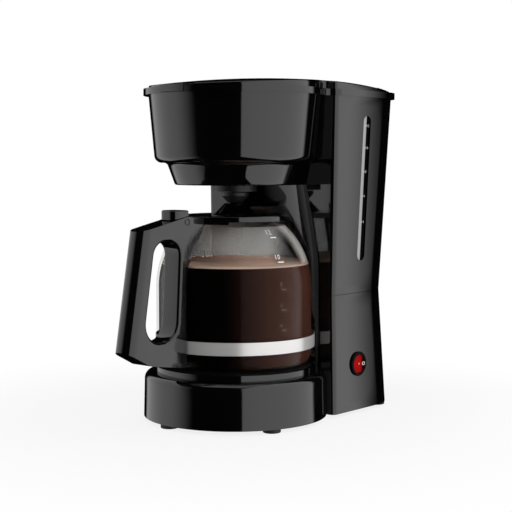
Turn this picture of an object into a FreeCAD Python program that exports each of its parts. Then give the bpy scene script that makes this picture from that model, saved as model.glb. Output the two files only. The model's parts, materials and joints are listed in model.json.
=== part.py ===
import FreeCAD, Part
import math
import operator
import os
import types

import Sketcher

# Drip coffee maker for twelve cups: a round base with a warming plate, a tower with the water tank,
# a brew head with a lift-out basket, a hinged lid and a glass carafe. Millimetres, +Z up, front to -Y.
# The pieces are modelled about the brew axis, and each finished piece is shifted along Y by one shared
# amount, so that the origin is at the middle of the footprint, on the counter. Heights build on each
# other from the counter up, and radii from the carafe outwards.

# Driving dimensions: name, size, what it is.
SIZES = [
    ("wall", 2.4, "thickness of the moulded housings"),
    ("gap", 0.3, "clearance between separate pieces"),
    ("run", 0.05, "radial clearance on pins and screws"),
    ("overrun", 2.0, "how far a cutting shape reaches past what it cuts"),
    ("foot_height", 3.6, "counter to the lower edge of the base"),
    ("foot_radius", 8.0, "rubber foot"),
    ("foot_margin", 0.4, "foot inside the edge of the base"),
    ("foot_stem", 3.0, "radius of the plug on a foot"),
    ("cover_thick", 2.2, "bottom cover"),
    ("base_height", 41.2, "base edge to the deck"),
    ("base_margin", 6.4, "base beyond the bay"),
    ("base_draft", 1.0, "how far the base wall leans in"),
    ("shoulder_round", 7.0, "rounding of the base shoulder"),
    ("ring_inset", 4.0, "raised ring inside the bay"),
    ("ring_height", 5.5, "ring above the deck"),
    ("ring_lip", 3.2, "width of the lip around the plate flange"),
    ("rebate_depth", 2.0, "depth of the seat for the plate seal"),
    ("seat_width", 4.8, "width of that seat"),
    ("seal_thick", 0.8, "silicone seal under the plate flange"),
    ("flange_width", 5.5, "plate flange"),
    ("plate_thick", 1.0, "sheet of the warming plate"),
    ("plate_rise", 1.4, "warming face above the flange"),
    ("plate_slope", 3.0, "width of the slope between them"),
    ("carafe_radius", 72.5, "glass at its widest"),
    ("glass", 2.2, "glass thickness"),
    ("heel_inset", 1.3, "glass heel inside its widest radius"),
    ("heel_rise", 13.0, "height at which the glass is at its widest"),
    ("heel_round", 4.0, "rounding of the glass heel"),
    ("shoulder_rise", 102.7, "glass underside to the turn of the shoulder"),
    ("shoulder_sweep", 78.0, "rounding of that turn"),
    ("neck_rise", 24.7, "turn of the shoulder to the foot of the neck"),
    ("neck_radius", 47.8, "glass neck"),
    ("neck_round", 2.5, "rounding at the foot of the neck"),
    ("mouth_rise", 5.6, "foot of the neck to the mouth"),
    ("band_rise", 15.8, "glass underside to the metal band"),
    ("band_width", 11.4, "metal band"),
    ("band_thick", 0.8, "metal band"),
    ("cap_wall", 1.3, "skirt of the carafe lid"),
    ("cap_thick", 2.5, "plate of the carafe lid"),
    ("cap_skirt", 2.1, "skirt below the mouth of the glass"),
    ("dome_radius", 19.5, "dome on the carafe lid at its foot"),
    ("dome_top_radius", 9.5, "dome at its top"),
    ("dome_rise", 10.7, "dome above the lid's plate"),
    ("dome_hole", 4.0, "radius of the hole that the coffee falls through"),
    ("handle_half", 10.5, "half width of the handle"),
    ("handle_gap", 3.1, "handle in front of the metal band"),
    ("handle_depth", 70.5, "handle from its inner edge to its front"),
    ("handle_round", 10.0, "rounding of the handle's outer face"),
    ("handle_low", 4.0, "glass underside to the handle's lower inner corner"),
    ("handle_heel", 11.0, "glass underside to the corner under the grip"),
    ("handle_heel_set", 44.5, "inner edge to that corner"),
    ("handle_toe", 24.5, "glass underside to the grip's lower front corner"),
    ("handle_top_set", 52.5, "inner edge to the grip's upper front corner"),
    ("handle_top_drop", 7.7, "mouth of the glass to that corner"),
    ("handle_peak", 3.0, "mouth of the glass to the handle's peak over the pin"),
    ("handle_turn", 88.5, "glass underside to the turn of the handle's inner edge"),
    ("handle_sweep", 40.0, "rounding of that turn"),
    ("handle_soft", 5.0, "rounding of the handle's other corners"),
    ("hole_soft", 3.0, "rounding of the finger hole's edges"),
    ("hole_top_drop", 17.4, "mouth of the glass to the top of the finger hole"),
    ("hole_low_rise", 29.5, "glass underside to the bottom of the finger hole"),
    ("hole_top_in", 6.0, "inner edge to the finger hole, at its top"),
    ("hole_top_out", 36.5, "inner edge to the far side of the finger hole, at its top"),
    ("hole_low_in", 11.0, "inner edge to the finger hole, at its bottom"),
    ("hole_low_out", 51.0, "inner edge to the far side of the finger hole, at its bottom"),
    ("hole_top_round", 13.0, "rounding of the finger hole's top"),
    ("hole_low_round", 17.0, "rounding of the finger hole's bottom"),
    ("lever_rise", 9.0, "top of the thumb lever above the mouth of the glass"),
    ("lever_reach", 15.0, "thumb lever in front of the pin"),
    ("lever_round", 7.0, "rounding of the lever's front corners"),
    ("lever_soft", 1.2, "rounding of the lever's top edge"),
    ("lever_clear", 0.8, "thumb lever above the handle"),
    ("lever_inset", 0.5, "thumb lever inside the handle's sides"),
    ("yoke_gap", 2.8, "yoke outside the glass neck"),
    ("yoke_wall", 4.0, "yoke around the neck"),
    ("yoke_height", 4.8, "yoke"),
    ("yoke_rise", 0.5, "yoke above the mouth of the glass"),
    ("yoke_angle", 70.0, "angle that the yoke spans, degrees"),
    ("pin_radius", 2.2, "carafe lid pin"),
    ("pin_inset", 1.5, "pin behind the handle's inner edge"),
    ("pin_drop", 1.4, "pin below the mouth of the glass"),
    ("pin_seat", 0.9, "depth and width of the seat around the pin's ends"),
    ("knuckle_wall", 2.2, "knuckle around the pin"),
    ("cheek", 3.6, "handle cheek beside the knuckle"),
    ("lug_reach", 12.0, "lug of the metal band inside the handle"),
    ("lug_half", 5.0, "half width of that lug"),
    ("lug_thick", 2.0, "thickness of that lug"),
    ("screw_radius", 1.6, "screws"),
    ("screw_head", 3.2, "radius of the screw heads"),
    ("screw_head_height", 2.0, "screw heads"),
    ("bay_clear", 5.5, "bay outside the carafe"),
    ("bay_closing", 12.2, "how far the bay closes in below the brew head"),
    ("bay_turn", 38.0, "shadow line to the turn where the bay closes in"),
    ("bay_round", 300.0, "rounding of that turn"),
    ("waist_rise", 68.5, "deck to the shadow line"),
    ("seam", 0.8, "shadow line between the base and the upper housing"),
    ("lip", 1.6, "thickness of the locating lip behind the shadow line"),
    ("lip_height", 5.0, "height of that lip"),
    ("tower_front", 48.4, "brew axis to the front corners of the tower"),
    ("tower_depth", 100.5, "tower from front to back at the shadow line"),
    ("side_margin", -2.5, "half width of the tower beyond the bay at the shadow line"),
    ("foot_flare", 2.0, "how much wider the tower is at its foot, each side"),
    ("top_flare", 3.0, "how much wider it is under the rim, each side"),
    ("back_foot_flare", 9.2, "how much deeper it is at its foot"),
    ("back_top_flare", 14.2, "how much deeper it is under the rim"),
    ("back_round", 40.0, "rounding of the rear corners"),
    ("front_round", 5.0, "rounding of the front corners"),
    ("valve_clear", 0.5, "valve tip above the carafe lid"),
    ("valve_tip", 7.0, "radius of the valve's tip"),
    ("valve_cone", 6.0, "height of the valve's cone"),
    ("valve_foot", 12.4, "radius of the valve's pressing disc"),
    ("valve_disc", 3.0, "height of the pressing disc"),
    ("valve_shaft", 5.0, "radius of the valve's shaft"),
    ("valve_neck", 3.9, "radius of the neck that holds the seal"),
    ("valve_head", 6.5, "radius of the head above the seal"),
    ("valve_head_height", 1.5, "height of that head"),
    ("valve_seal_overlap", 3.0, "seal beyond the drain hole"),
    ("valve_seal_thick", 2.0, "valve seal"),
    ("drain_clear", 3.0, "drain hole around the valve's shaft"),
    ("spring_length", 10.0, "valve spring in its place"),
    ("spring_clear", 1.4, "spring wire outside the valve's shaft"),
    ("spring_wire", 0.8, "wire of the valve spring"),
    ("nozzle_height", 9.0, "nozzle below the basket floor"),
    ("nozzle_wall", 6.5, "nozzle around its chamber"),
    ("nozzle_clear", 2.5, "hole in the funnel around the nozzle"),
    ("chamber_clear", 0.6, "nozzle chamber around the pressing disc"),
    ("head_drop", 3.0, "funnel underside below the basket floor"),
    ("funnel_rise", 20.0, "height of the funnel"),
    ("drum_rise", 60.7, "height of the drum"),
    ("drum_margin", 0.6, "drum beyond the bay radius, under the rim"),
    ("drum_taper", 5.5, "how much narrower the drum is at its lower edge"),
    ("step_width", 10.9, "step between drum and funnel"),
    ("funnel_taper", 7.2, "how much narrower the funnel is at its lower edge"),
    ("cheek_low", 44.6, "half width of the funnel's lower edge where it meets the tower"),
    ("cheek_flare", 4.9, "how much wider it is at the step, each side"),
    ("cheek_start", 12.0, "angle at which the funnel's sides turn straight back, degrees"),
    ("drum_round", 7.0, "rounding of the drum's lower edge"),
    ("funnel_round", 4.0, "hollow between drum and funnel"),
    ("ledge_drop", 7.2, "rim to the ledge that carries the basket"),
    ("ledge_width", 2.6, "ledge inside the drum"),
    ("ledge_thick", 2.5, "ledge inside the drum"),
    ("basket_wall", 2.0, "basket"),
    ("basket_clear", 1.9, "basket inside the ledge and inside the funnel"),
    ("basket_flange", 2.0, "thickness of the basket's flange"),
    ("basket_round", 5.0, "rounding of the basket's lower edge"),
    ("rim_height", 5.8, "band around the top"),
    ("rim_overhang", 4.6, "band beyond the drum"),
    ("rim_tower_overhang", 3.6, "band beyond the tower"),
    ("rim_bridge", 7.0, "deck between the basket opening and the filler opening"),
    ("filler_side", 22.0, "filler opening inside the tower's side"),
    ("filler_back", 13.0, "filler opening in front of the lid hinge"),
    ("filler_round", 14.0, "rounding of the filler opening"),
    ("rim_hollow", 5.0, "rounding where the drum's band runs into the tower's"),
    ("lid_inset", 4.8, "lid edge inside the band"),
    ("lid_rise", 10.7, "lid above the band"),
    ("lid_wall", 2.4, "lid thickness"),
    ("lid_round", 1.2, "rounding of the lid edge"),
    ("tab_half", 13.6, "half width of the lid's finger tab"),
    ("tab_proud", 0.8, "tab in front of the band"),
    ("tab_drop", 5.0, "tab below the top of the band"),
    ("tab_rise", 1.4, "tab above the top of the band"),
    ("hinge_inset", 32.0, "lid hinge in front of the rim's back"),
    ("hinge_radius", 1.2, "lid hinge pin"),
    ("hinge_wall", 1.1, "barrel around the pin"),
    ("hinge_clear", 0.5, "hinge barrel above the deck"),
    ("hinge_side", 22.0, "hinge barrel inside the tower's side"),
    ("hinge_lug", 8.0, "width of a hinge lug"),
    ("hinge_slot", 0.4, "clearance beside the barrel and the lugs"),
    ("strip_clear", 0.9, "fixed rear strip behind the hinge barrel"),
    ("dish_radius", 34.0, "spreader dish"),
    ("dish_drop", 4.0, "spreader dish below the top of the band"),
    ("dish_depth", 5.0, "depth of the dish"),
    ("dish_wall", 1.5, "spreader"),
    ("dish_slope", 4.0, "width of the dish's sloping rim"),
    ("dish_hole", 1.6, "radius of the shower holes"),
    ("dish_hole_ring", 20.0, "circle of the shower holes"),
    ("post_radius", 2.5, "posts that hang the spreader from the lid"),
    ("post_ring", 25.0, "circle of the posts"),
    ("trough_half", 6.0, "half width of the trough to the riser pipe"),
    ("tank_wall", 1.8, "water tank"),
    ("tank_drop", 3.2, "tank rim below the brew head's top"),
    ("window_rise", 29.7, "upper housing's lower edge to the level window"),
    ("window_length", 134.5, "level window"),
    ("window_set", 42.7, "front corners to the lower end of the window"),
    ("window_lean", 7.0, "how far the window leans back over its length"),
    ("window_half", 5.7, "half width of the level window"),
    ("window_recess", 1.0, "window face behind the tower's side"),
    ("window_thick", 2.4, "level window"),
    ("switch_set", 38.3, "front corners to the middle of the switch"),
    ("switch_rise", 43.3, "base edge to the middle of the switch"),
    ("rocker_radius", 8.4, "rocker"),
    ("rocker_face", 1.0, "pressed half of the rocker outside the side wall"),
    ("rocker_depth", 5.0, "rocker behind the side wall"),
    ("rocker_swing", 16.0, "angle between the rocker's faces, degrees"),
    ("rocker_pin", 1.0, "radius of the rocker's trunnions"),
    ("bezel_wall", 1.1, "switch body around the rocker"),
    ("bezel_flange", 1.7, "bezel beyond the switch body"),
    ("bezel_proud", 2.0, "bezel outside the side wall"),
    ("switch_depth", 16.0, "switch body behind the side wall"),
    ("switch_back", 3.0, "back of the switch body"),
    ("gland_rise", 18.0, "base edge to the gland of the mains lead"),
    ("gland_side", 30.0, "brew axis to the gland, sideways"),
    ("gland_bore", 3.6, "radius of the gland's hole"),
    ("gland_wall", 3.2, "gland around its hole"),
    ("gland_flange", 2.6, "gland's flange beyond its neck"),
    ("gland_proud", 3.0, "gland outside the back wall"),
    ("gland_depth", 7.0, "gland behind the back wall's outer face"),
    ("element_margin", 15.0, "heating element inside the warming face"),
    ("element_half", 7.0, "half width of the element's section"),
    ("element_height", 13.0, "height of the element's section"),
    ("tube_radius", 4.0, "water tube in the element, and the riser pipe"),
    ("tube_wall", 1.2, "their walls"),
    ("hose_wall", 1.9, "silicone hose"),
    ("hose_bend", 24.0, "bend of the hoses"),
    ("hose_grip", 8.0, "hose over the tube it is pushed on"),
    ("clip_width", 5.0, "hose clip"),
    ("clip_wall", 0.9, "hose clip"),
    ("riser_set", 59.4, "front corners to the riser pipe and the tank outlet"),
    ("riser_bend", 14.0, "bend at the top of the riser pipe"),
    ("riser_end", 2.4, "end of the riser pipe behind the basket opening's edge"),
    ("riser_drop", 18.0, "riser pipe below the base's top"),
    ("grommet_wall", 1.9, "rubber grommet around the riser pipe"),
    ("grommet_flange", 2.0, "its flange"),
    ("barrel_radius", 8.0, "check valve"),
    ("barrel_height", 24.0, "check valve below the base's top"),
    ("barb_length", 12.0, "hose barb under the check valve"),
    ("ball_radius", 4.0, "check ball"),
    ("ball_seat", 2.8, "bore under and over the ball"),
    ("ball_lift", 2.0, "travel of the ball"),
    ("ball_clear", 1.0, "chamber around the ball"),
    ("clamp_half", 7.0, "half width of the clamp under the element"),
    ("clamp_thick", 2.0, "clamp"),
    ("clamp_boss", 4.4, "radius of the bosses for the clamp and the cover"),
    ("thermostat_radius", 8.0, "thermostat"),
    ("thermostat_height", 6.0, "thermostat"),
    ("fuse_radius", 2.5, "thermal fuse"),
    ("fuse_length", 22.0, "thermal fuse"),
]

FRONT_FEET = [-66.0, -9.0, 66.0]
REAR_FEET = 53.0
SHOWER_HOLES = 8
SPRING_TURNS = 3

# Shares of the sizes above.
SLOT_ROUND = 0.94
LUG_TOP = 0.7
COVER_DRAWN_IN = 0.1
PLUG_BARB = 1.3
LEG_SHARE = 0.8
OUTLET_BEND = 0.6
GLAND_GRIP = 1.3
CROWN_FALL = 1.172  # fall of the lid's crown at the corners of its outline, by its rise


class Size:
    # A number together with the sheet formula that gives it.
    def __init__(self, value, formula):
        self.value = value
        self.formula = formula

    def __add__(self, other):
        return combined(self, "+", other)

    def __radd__(self, other):
        return combined(other, "+", self)

    def __sub__(self, other):
        return combined(self, "-", other)

    def __rsub__(self, other):
        return combined(other, "-", self)

    def __mul__(self, other):
        return combined(self, "*", other)

    def __rmul__(self, other):
        return combined(other, "*", self)

    def __truediv__(self, other):
        return combined(self, "/", other)

    def __neg__(self):
        return combined(0.0, "-", self)

    def root(self):
        return Size(math.sqrt(self.value), "sqrt(%s)" % self.formula)


SIGNS = {"+": operator.add, "-": operator.sub, "*": operator.mul, "/": operator.truediv}


def as_size(item):
    if isinstance(item, Size):
        return item
    return Size(float(item), "(%r)" % float(item))


def combined(left, sign, right):
    left = as_size(left)
    right = as_size(right)
    value = SIGNS[sign](left.value, right.value)
    return Size(value, "(%s %s %s)" % (left.formula, sign, right.formula))


doc = FreeCAD.newDocument("coffee_maker")
sheet = doc.addObject("Spreadsheet::Sheet", "sizes")
for row, (name, size, note) in enumerate(SIZES, start=1):
    sheet.set("A%d" % row, name)
    sheet.set("B%d" % row, str(size))
    sheet.set("C%d" % row, note)
    sheet.setAlias("B%d" % row, name)
doc.recompute()

S = types.SimpleNamespace()
for name, size, note in SIZES:
    setattr(S, name, Size(float(sheet.get(name)), "sizes." + name))

finished = []
cuts = []


def bind(item, prop, size):
    item.setExpression(prop, as_size(size).formula)


def place(item, x=0, y=0, z=0, turn=None):
    if turn is not None:
        item.Placement = FreeCAD.Placement(FreeCAD.Vector(), turn)
    bind(item, "Placement.Base.x", x)
    bind(item, "Placement.Base.y", y)
    bind(item, "Placement.Base.z", z)


def finish(item, label, x=0, y=0, z=0, turn=None):
    item.Label = label
    place(item, x, y + D.shift, z, turn)
    finished.append(item)
    return item


def finish_shape(shape, label):
    # For a shape that only Part's own functions can make.
    item = doc.addObject("Part::Feature", label)
    item.Shape = shape
    return finish(item, label)


def body_of(name):
    return doc.addObject("PartDesign::Body", name)


def origin_part(body, role):
    return next(part for part in body.Origin.OriginFeatures if part.Role == role)


def new_sketch(body, plane, lift):
    sketch = body.newObject("Sketcher::SketchObject", body.Name + "_sketch")
    sketch.AttachmentSupport = (origin_part(body, plane), [""])
    sketch.MapMode = "FlatFace"
    bind(sketch, "AttachmentOffset.Base.z", lift)
    return sketch


def pin_point(rules, geometry, point, x, y):
    # Rules that hold a sketch point at x, y, each with the formula that drives it.
    for kind, axis, coordinate in (("DistanceX", -2, x), ("DistanceY", -1, y)):
        coordinate = as_size(coordinate)
        if coordinate.formula == "(0.0)":
            rules.append((Sketcher.Constraint("PointOnObject", geometry, point, axis), None))
        else:
            rule = Sketcher.Constraint(kind, geometry, point, coordinate.value)
            rules.append((rule, coordinate.formula))


def add_rules(sketch, rules):
    first = sketch.ConstraintCount
    sketch.addConstraint([rule for rule, formula in rules])
    for index, (rule, formula) in enumerate(rules, start=first):
        if formula:
            sketch.setExpression("Constraints[%d]" % index, formula)


def outline(body, plane, corners, lift=0):
    # A closed outline of straight edges. A corner is x, y and, where it is rounded, a radius.
    sketch = new_sketch(body, plane, lift)
    count = len(corners)
    spots = [FreeCAD.Vector(as_size(c[0]).value, as_size(c[1]).value, 0) for c in corners]
    entries = list(spots)
    exits = list(spots)
    arcs = {}
    for i, corner in enumerate(corners):
        if len(corner) == 2:
            continue
        radius = as_size(corner[2]).value
        back = (spots[i - 1] - spots[i]).normalize()
        ahead = (spots[(i + 1) % count] - spots[i]).normalize()
        half = back.getAngle(ahead) / 2
        entries[i] = spots[i] + back * (radius / math.tan(half))
        exits[i] = spots[i] + ahead * (radius / math.tan(half))
        centre = spots[i] + (back + ahead).normalize() * (radius / math.sin(half))
        turns_left = back.cross(ahead).z < 0
        ends = (entries[i], exits[i]) if turns_left else (exits[i], entries[i])
        angles = [math.atan2((end - centre).y, (end - centre).x) for end in ends]
        circle = Part.Circle(centre, FreeCAD.Vector(0, 0, 1), radius)
        arcs[i] = (Part.ArcOfCircle(circle, *angles), turns_left)
    lines = [Part.LineSegment(exits[i], entries[(i + 1) % count]) for i in range(count)]
    sketch.addGeometry(lines, False)
    rules = []
    for i, corner in enumerate(corners):
        before = (i - 1) % count
        if i not in arcs:
            rules.append((Sketcher.Constraint("Coincident", before, 2, i, 1), None))
            pin_point(rules, i, 1, corner[0], corner[1])
            continue
        arc, turns_left = arcs[i]
        rounding = sketch.addGeometry(arc, False)
        mark = sketch.addGeometry(Part.Point(spots[i]), True)
        start, end = (1, 2) if turns_left else (2, 1)
        radius = as_size(corner[2])
        rules.append((Sketcher.Constraint("Tangent", before, 2, rounding, start), None))
        rules.append((Sketcher.Constraint("Tangent", rounding, end, i, 1), None))
        rules.append((Sketcher.Constraint("Radius", rounding, radius.value), radius.formula))
        rules.append((Sketcher.Constraint("PointOnObject", mark, 1, before), None))
        rules.append((Sketcher.Constraint("PointOnObject", mark, 1, i), None))
        pin_point(rules, mark, 1, corner[0], corner[1])
    add_rules(sketch, rules)
    return sketch


def disc(body, plane, radius, x=0, y=0, lift=0):
    sketch = new_sketch(body, plane, lift)
    centre = FreeCAD.Vector(as_size(x).value, as_size(y).value, 0)
    radius = as_size(radius)
    sketch.addGeometry(Part.Circle(centre, FreeCAD.Vector(0, 0, 1), radius.value), False)
    rules = [(Sketcher.Constraint("Radius", 0, radius.value), radius.formula)]
    pin_point(rules, 0, 3, x, y)
    add_rules(sketch, rules)
    return sketch


def pad(body, sketch, length, symmetric=False):
    feature = body.newObject("PartDesign::Pad", body.Name + "_pad")
    feature.Profile = sketch
    bind(feature, "Length", length)
    feature.Midplane = symmetric
    return feature


def pocket(body, sketch, length, symmetric=False):
    feature = body.newObject("PartDesign::Pocket", body.Name + "_pocket")
    feature.Profile = sketch
    bind(feature, "Length", length)
    feature.Midplane = symmetric
    cuts.append(feature)
    return feature


def revolve(body, sketch, angle=360.0):
    feature = body.newObject("PartDesign::Revolution", body.Name + "_turned")
    feature.Profile = sketch
    feature.ReferenceAxis = (origin_part(body, "Z_Axis"), [""])
    bind(feature, "Angle", angle)
    return feature


def groove(body, sketch):
    feature = body.newObject("PartDesign::Groove", body.Name + "_groove")
    feature.Profile = sketch
    feature.ReferenceAxis = (origin_part(body, "Z_Axis"), [""])
    feature.Angle = 360.0
    cuts.append(feature)
    return feature


def loft(body, lower, upper):
    feature = body.newObject("PartDesign::AdditiveLoft", body.Name + "_loft")
    feature.Profile = lower
    feature.Sections = [upper]
    feature.Ruled = True
    return feature


def turned(name, corners):
    # A body turned about Z from an outline of radius and height.
    body = body_of(name)
    revolve(body, outline(body, "XZ_Plane", corners))
    return body


ALONG_X = FreeCAD.Rotation(FreeCAD.Vector(0, 1, 0), 90)
ALONG_Y = FreeCAD.Rotation(FreeCAD.Vector(1, 0, 0), -90)


def cylinder(name, radius, height, x=0, y=0, z=0, turn=None):
    item = doc.addObject("Part::Cylinder", name)
    bind(item, "Radius", radius)
    bind(item, "Height", height)
    place(item, x, y, z, turn)
    return item


def box(name, low, high):
    # A box between two opposite corners.
    item = doc.addObject("Part::Box", name)
    for prop, near, far in zip(("Length", "Width", "Height"), low, high):
        bind(item, prop, as_size(far) - near)
    place(item, *low)
    return item


def sphere(name, radius, x=0, y=0, z=0, turn=None):
    item = doc.addObject("Part::Sphere", name)
    bind(item, "Radius", radius)
    place(item, x, y, z, turn)
    return item


def fuse(name, *items):
    result = doc.addObject("Part::MultiFuse", name)
    result.Shapes = list(items)
    return result


def cut(name, base, *tools):
    result = doc.addObject("Part::Cut", name)
    result.Base = base
    result.Tool = tools[0] if len(tools) == 1 else fuse(name + "_tools", *tools)
    cuts.append(result)
    return result


def common(name, first, second):
    result = doc.addObject("Part::MultiCommon", name)
    result.Shapes = [first, second]
    return result


def layout():
    # Heights and radii that several pieces share.
    d = types.SimpleNamespace()
    d.deck = S.foot_height + S.base_height
    d.ring_top = d.deck + S.ring_height
    d.seal_seat = d.ring_top - S.rebate_depth
    d.flange_low = d.seal_seat + S.seal_thick
    d.flange_top = d.flange_low + S.plate_thick
    d.plate_top = d.flange_top + S.plate_rise
    d.glass_low = d.plate_top + S.gap
    d.band_low = d.glass_low + S.band_rise
    d.band_high = d.band_low + S.band_width
    d.shoulder = d.glass_low + S.shoulder_rise
    d.neck = d.shoulder + S.neck_rise
    d.mouth = d.neck + S.mouth_rise
    d.cap_top = d.mouth + S.gap + S.cap_thick
    d.dome_top = d.cap_top + S.dome_rise
    d.valve_low = d.dome_top + S.valve_clear
    d.disc_low = d.valve_low + S.valve_cone
    d.disc_top = d.disc_low + S.valve_disc
    d.basket_low = d.disc_top + S.spring_length
    d.basket_floor = d.basket_low + S.basket_wall
    d.head_low = d.basket_low - S.head_drop
    d.head_step = d.head_low + S.funnel_rise
    d.head_top = d.head_step + S.drum_rise
    d.ledge = d.head_top - S.ledge_drop
    d.rim_top = d.head_top + S.rim_height
    d.apex = d.rim_top + S.lid_rise
    d.barrel = S.hinge_radius + S.run + S.hinge_wall
    d.hinge_z = d.rim_top + S.hinge_clear + d.barrel
    d.waist = d.deck + S.waist_rise
    d.upper_low = d.waist + S.seam
    d.bay = S.carafe_radius + S.bay_clear
    d.base = d.bay + S.base_margin
    d.ring = d.bay - S.ring_inset
    d.flange = d.ring - S.ring_lip - S.gap
    d.opening = d.ring - S.ring_lip - S.seat_width
    d.plate_face = d.flange - S.flange_width - S.plate_slope
    d.drum = d.bay + S.drum_margin
    d.drum_low = d.drum - S.drum_taper
    d.funnel = d.drum_low - S.step_width
    d.funnel_low = d.funnel - S.funnel_taper
    d.drum_lean = S.drum_taper / S.drum_rise
    d.half_waist = d.bay + S.side_margin
    d.half_foot = d.half_waist + S.foot_flare
    d.half_top = d.half_waist + S.top_flare
    d.back_waist = S.tower_front + S.tower_depth
    d.back_foot = d.back_waist + S.back_foot_flare
    d.back_top = d.back_waist + S.back_top_flare
    d.rim_back = d.back_top + S.rim_tower_overhang
    d.hinge_y = d.rim_back - S.hinge_inset
    d.lid_half = d.half_top + S.rim_tower_overhang - S.lid_inset
    d.lid_middle = (d.rim_back - d.drum - S.rim_overhang) / 2
    d.lid_reach = d.rim_back - d.lid_middle - S.lid_inset
    d.lid_fall = S.lid_rise * CROWN_FALL
    d.lid_sphere = ((d.lid_reach * d.lid_reach + d.lid_half * d.lid_half) / d.lid_fall + d.lid_fall) / 2
    d.barrel_half = d.half_top - S.hinge_side
    d.handle_in = S.carafe_radius + S.band_thick + S.run + S.handle_gap
    d.handle_out = d.handle_in + S.handle_depth
    d.pin_y = d.handle_in - S.pin_inset
    d.pin_z = d.mouth - S.pin_drop
    d.riser_y = S.tower_front + S.riser_set
    d.element_out = d.plate_face - S.element_margin
    d.element_mid = d.element_out - S.element_half
    d.plate_under = d.plate_top - S.plate_thick
    d.tube_z = d.plate_under - S.element_height
    d.tube_bore = S.tube_radius - S.tube_wall
    d.tube_end = d.riser_y - S.hose_bend
    d.hose = S.tube_radius + S.run + S.hose_wall
    d.opening_radius = d.drum - S.wall
    d.tank_inset = S.wall + S.gap + S.lip + S.gap
    d.shift = (d.handle_out - d.rim_back) / 2
    return d


D = layout()


def plan(body, height, half, back, inset, rounding):
    # Plan of the tower at one height, drawn in by an inset.
    side = half - inset
    front = S.tower_front + inset
    rear = back - inset
    turn = S.back_round - inset
    corners = [(side, front, rounding), (side, rear, turn), (-side, rear, turn), (-side, front, rounding)]
    return outline(body, "XY_Plane", corners, height)


def between(low, high, share):
    return low + (high - low) * share


def upper_column(name, low, high, inset, rounding, bay_inset):
    # Upper part of the tower between two heights, with the bay, the funnel and the drum cut out.
    body = body_of(name)
    plans = []
    for height in (low, high):
        share = (height - D.upper_low) / (D.head_top - D.upper_low)
        half = between(D.half_waist, D.half_top, share)
        back = between(D.back_waist, D.back_top, share)
        plans.append(plan(body, height, half, back, inset, rounding))
    loft(body, *plans)
    bay = D.bay + bay_inset
    closed = bay - S.bay_closing
    turn = D.upper_low + S.bay_turn
    pocket_low = D.head_low + bay_inset
    sleeve = D.funnel + S.gap + bay_inset
    step = D.head_step - S.gap - bay_inset
    drum_low = D.drum_low + S.gap + bay_inset
    drum_high = D.drum + S.gap + bay_inset + D.drum_lean * S.overrun
    below = low - S.overrun
    above = D.head_top + S.overrun
    corners = [(0, below), (bay, below), (bay, turn, S.bay_round), (closed, pocket_low),
               (sleeve, pocket_low),
               (sleeve, step, S.funnel_round), (drum_low, step), (drum_high, above), (0, above)]
    groove(body, outline(body, "XZ_Plane", corners))
    return body


def lower_column(name, low, high, inset, rounding):
    # Foot of the tower between two heights, with the bay cut out above the deck.
    body = body_of(name)
    plans = []
    for height in (low, high):
        share = (height - S.foot_height) / (D.waist - S.foot_height)
        half = between(D.half_foot, D.half_waist, share)
        back = between(D.back_foot, D.back_waist, share)
        plans.append(plan(body, height, half, back, inset, rounding))
    loft(body, *plans)
    bay = D.bay + inset
    floor = D.deck - inset
    above = high + S.overrun
    groove(body, outline(body, "XZ_Plane", [(0, floor), (bay, floor), (bay, above), (0, above)]))
    return body


def window_prism(name, clearance):
    # Slanted slot of the level window, through the wall on the +X side.
    body = body_of(name)
    low = D.upper_low + S.window_rise
    high = low + S.window_length
    low_y = S.tower_front + S.window_set
    high_y = low_y + S.window_lean
    half = S.window_half - clearance
    turn = half * SLOT_ROUND
    corners = [(low_y - half, low + clearance, turn), (low_y + half, low + clearance, turn),
               (high_y + half, high - clearance, turn), (high_y - half, high - clearance, turn)]
    inner = D.half_waist - D.tank_inset
    pad(body, outline(body, "YZ_Plane", corners, inner), D.tank_inset + S.top_flare + S.overrun)
    return body


def upper_housing():
    shell = cut("upper_shell",
                upper_column("upper_outside", D.upper_low, D.head_top, 0, S.front_round, 0),
                upper_column("upper_inside", D.upper_low - S.overrun, D.head_top + S.overrun, S.wall,
                             S.front_round - S.wall, S.wall))
    return finish(cut("upper_slotted", shell, window_prism("window_slot", 0)), "upper_housing")


def level_window():
    inner = S.window_recess + S.window_thick
    low = D.upper_low + S.overrun
    high = D.head_top - S.overrun
    skin = cut("window_skin",
               upper_column("window_face", low, high, S.window_recess, S.front_round - S.window_recess,
                            0),
               upper_column("window_back", low - S.overrun, high + S.overrun, inner,
                            S.front_round - inner, 0))
    return finish(common("window_cut", skin, window_prism("window_body", S.gap)), "level_window")


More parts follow.
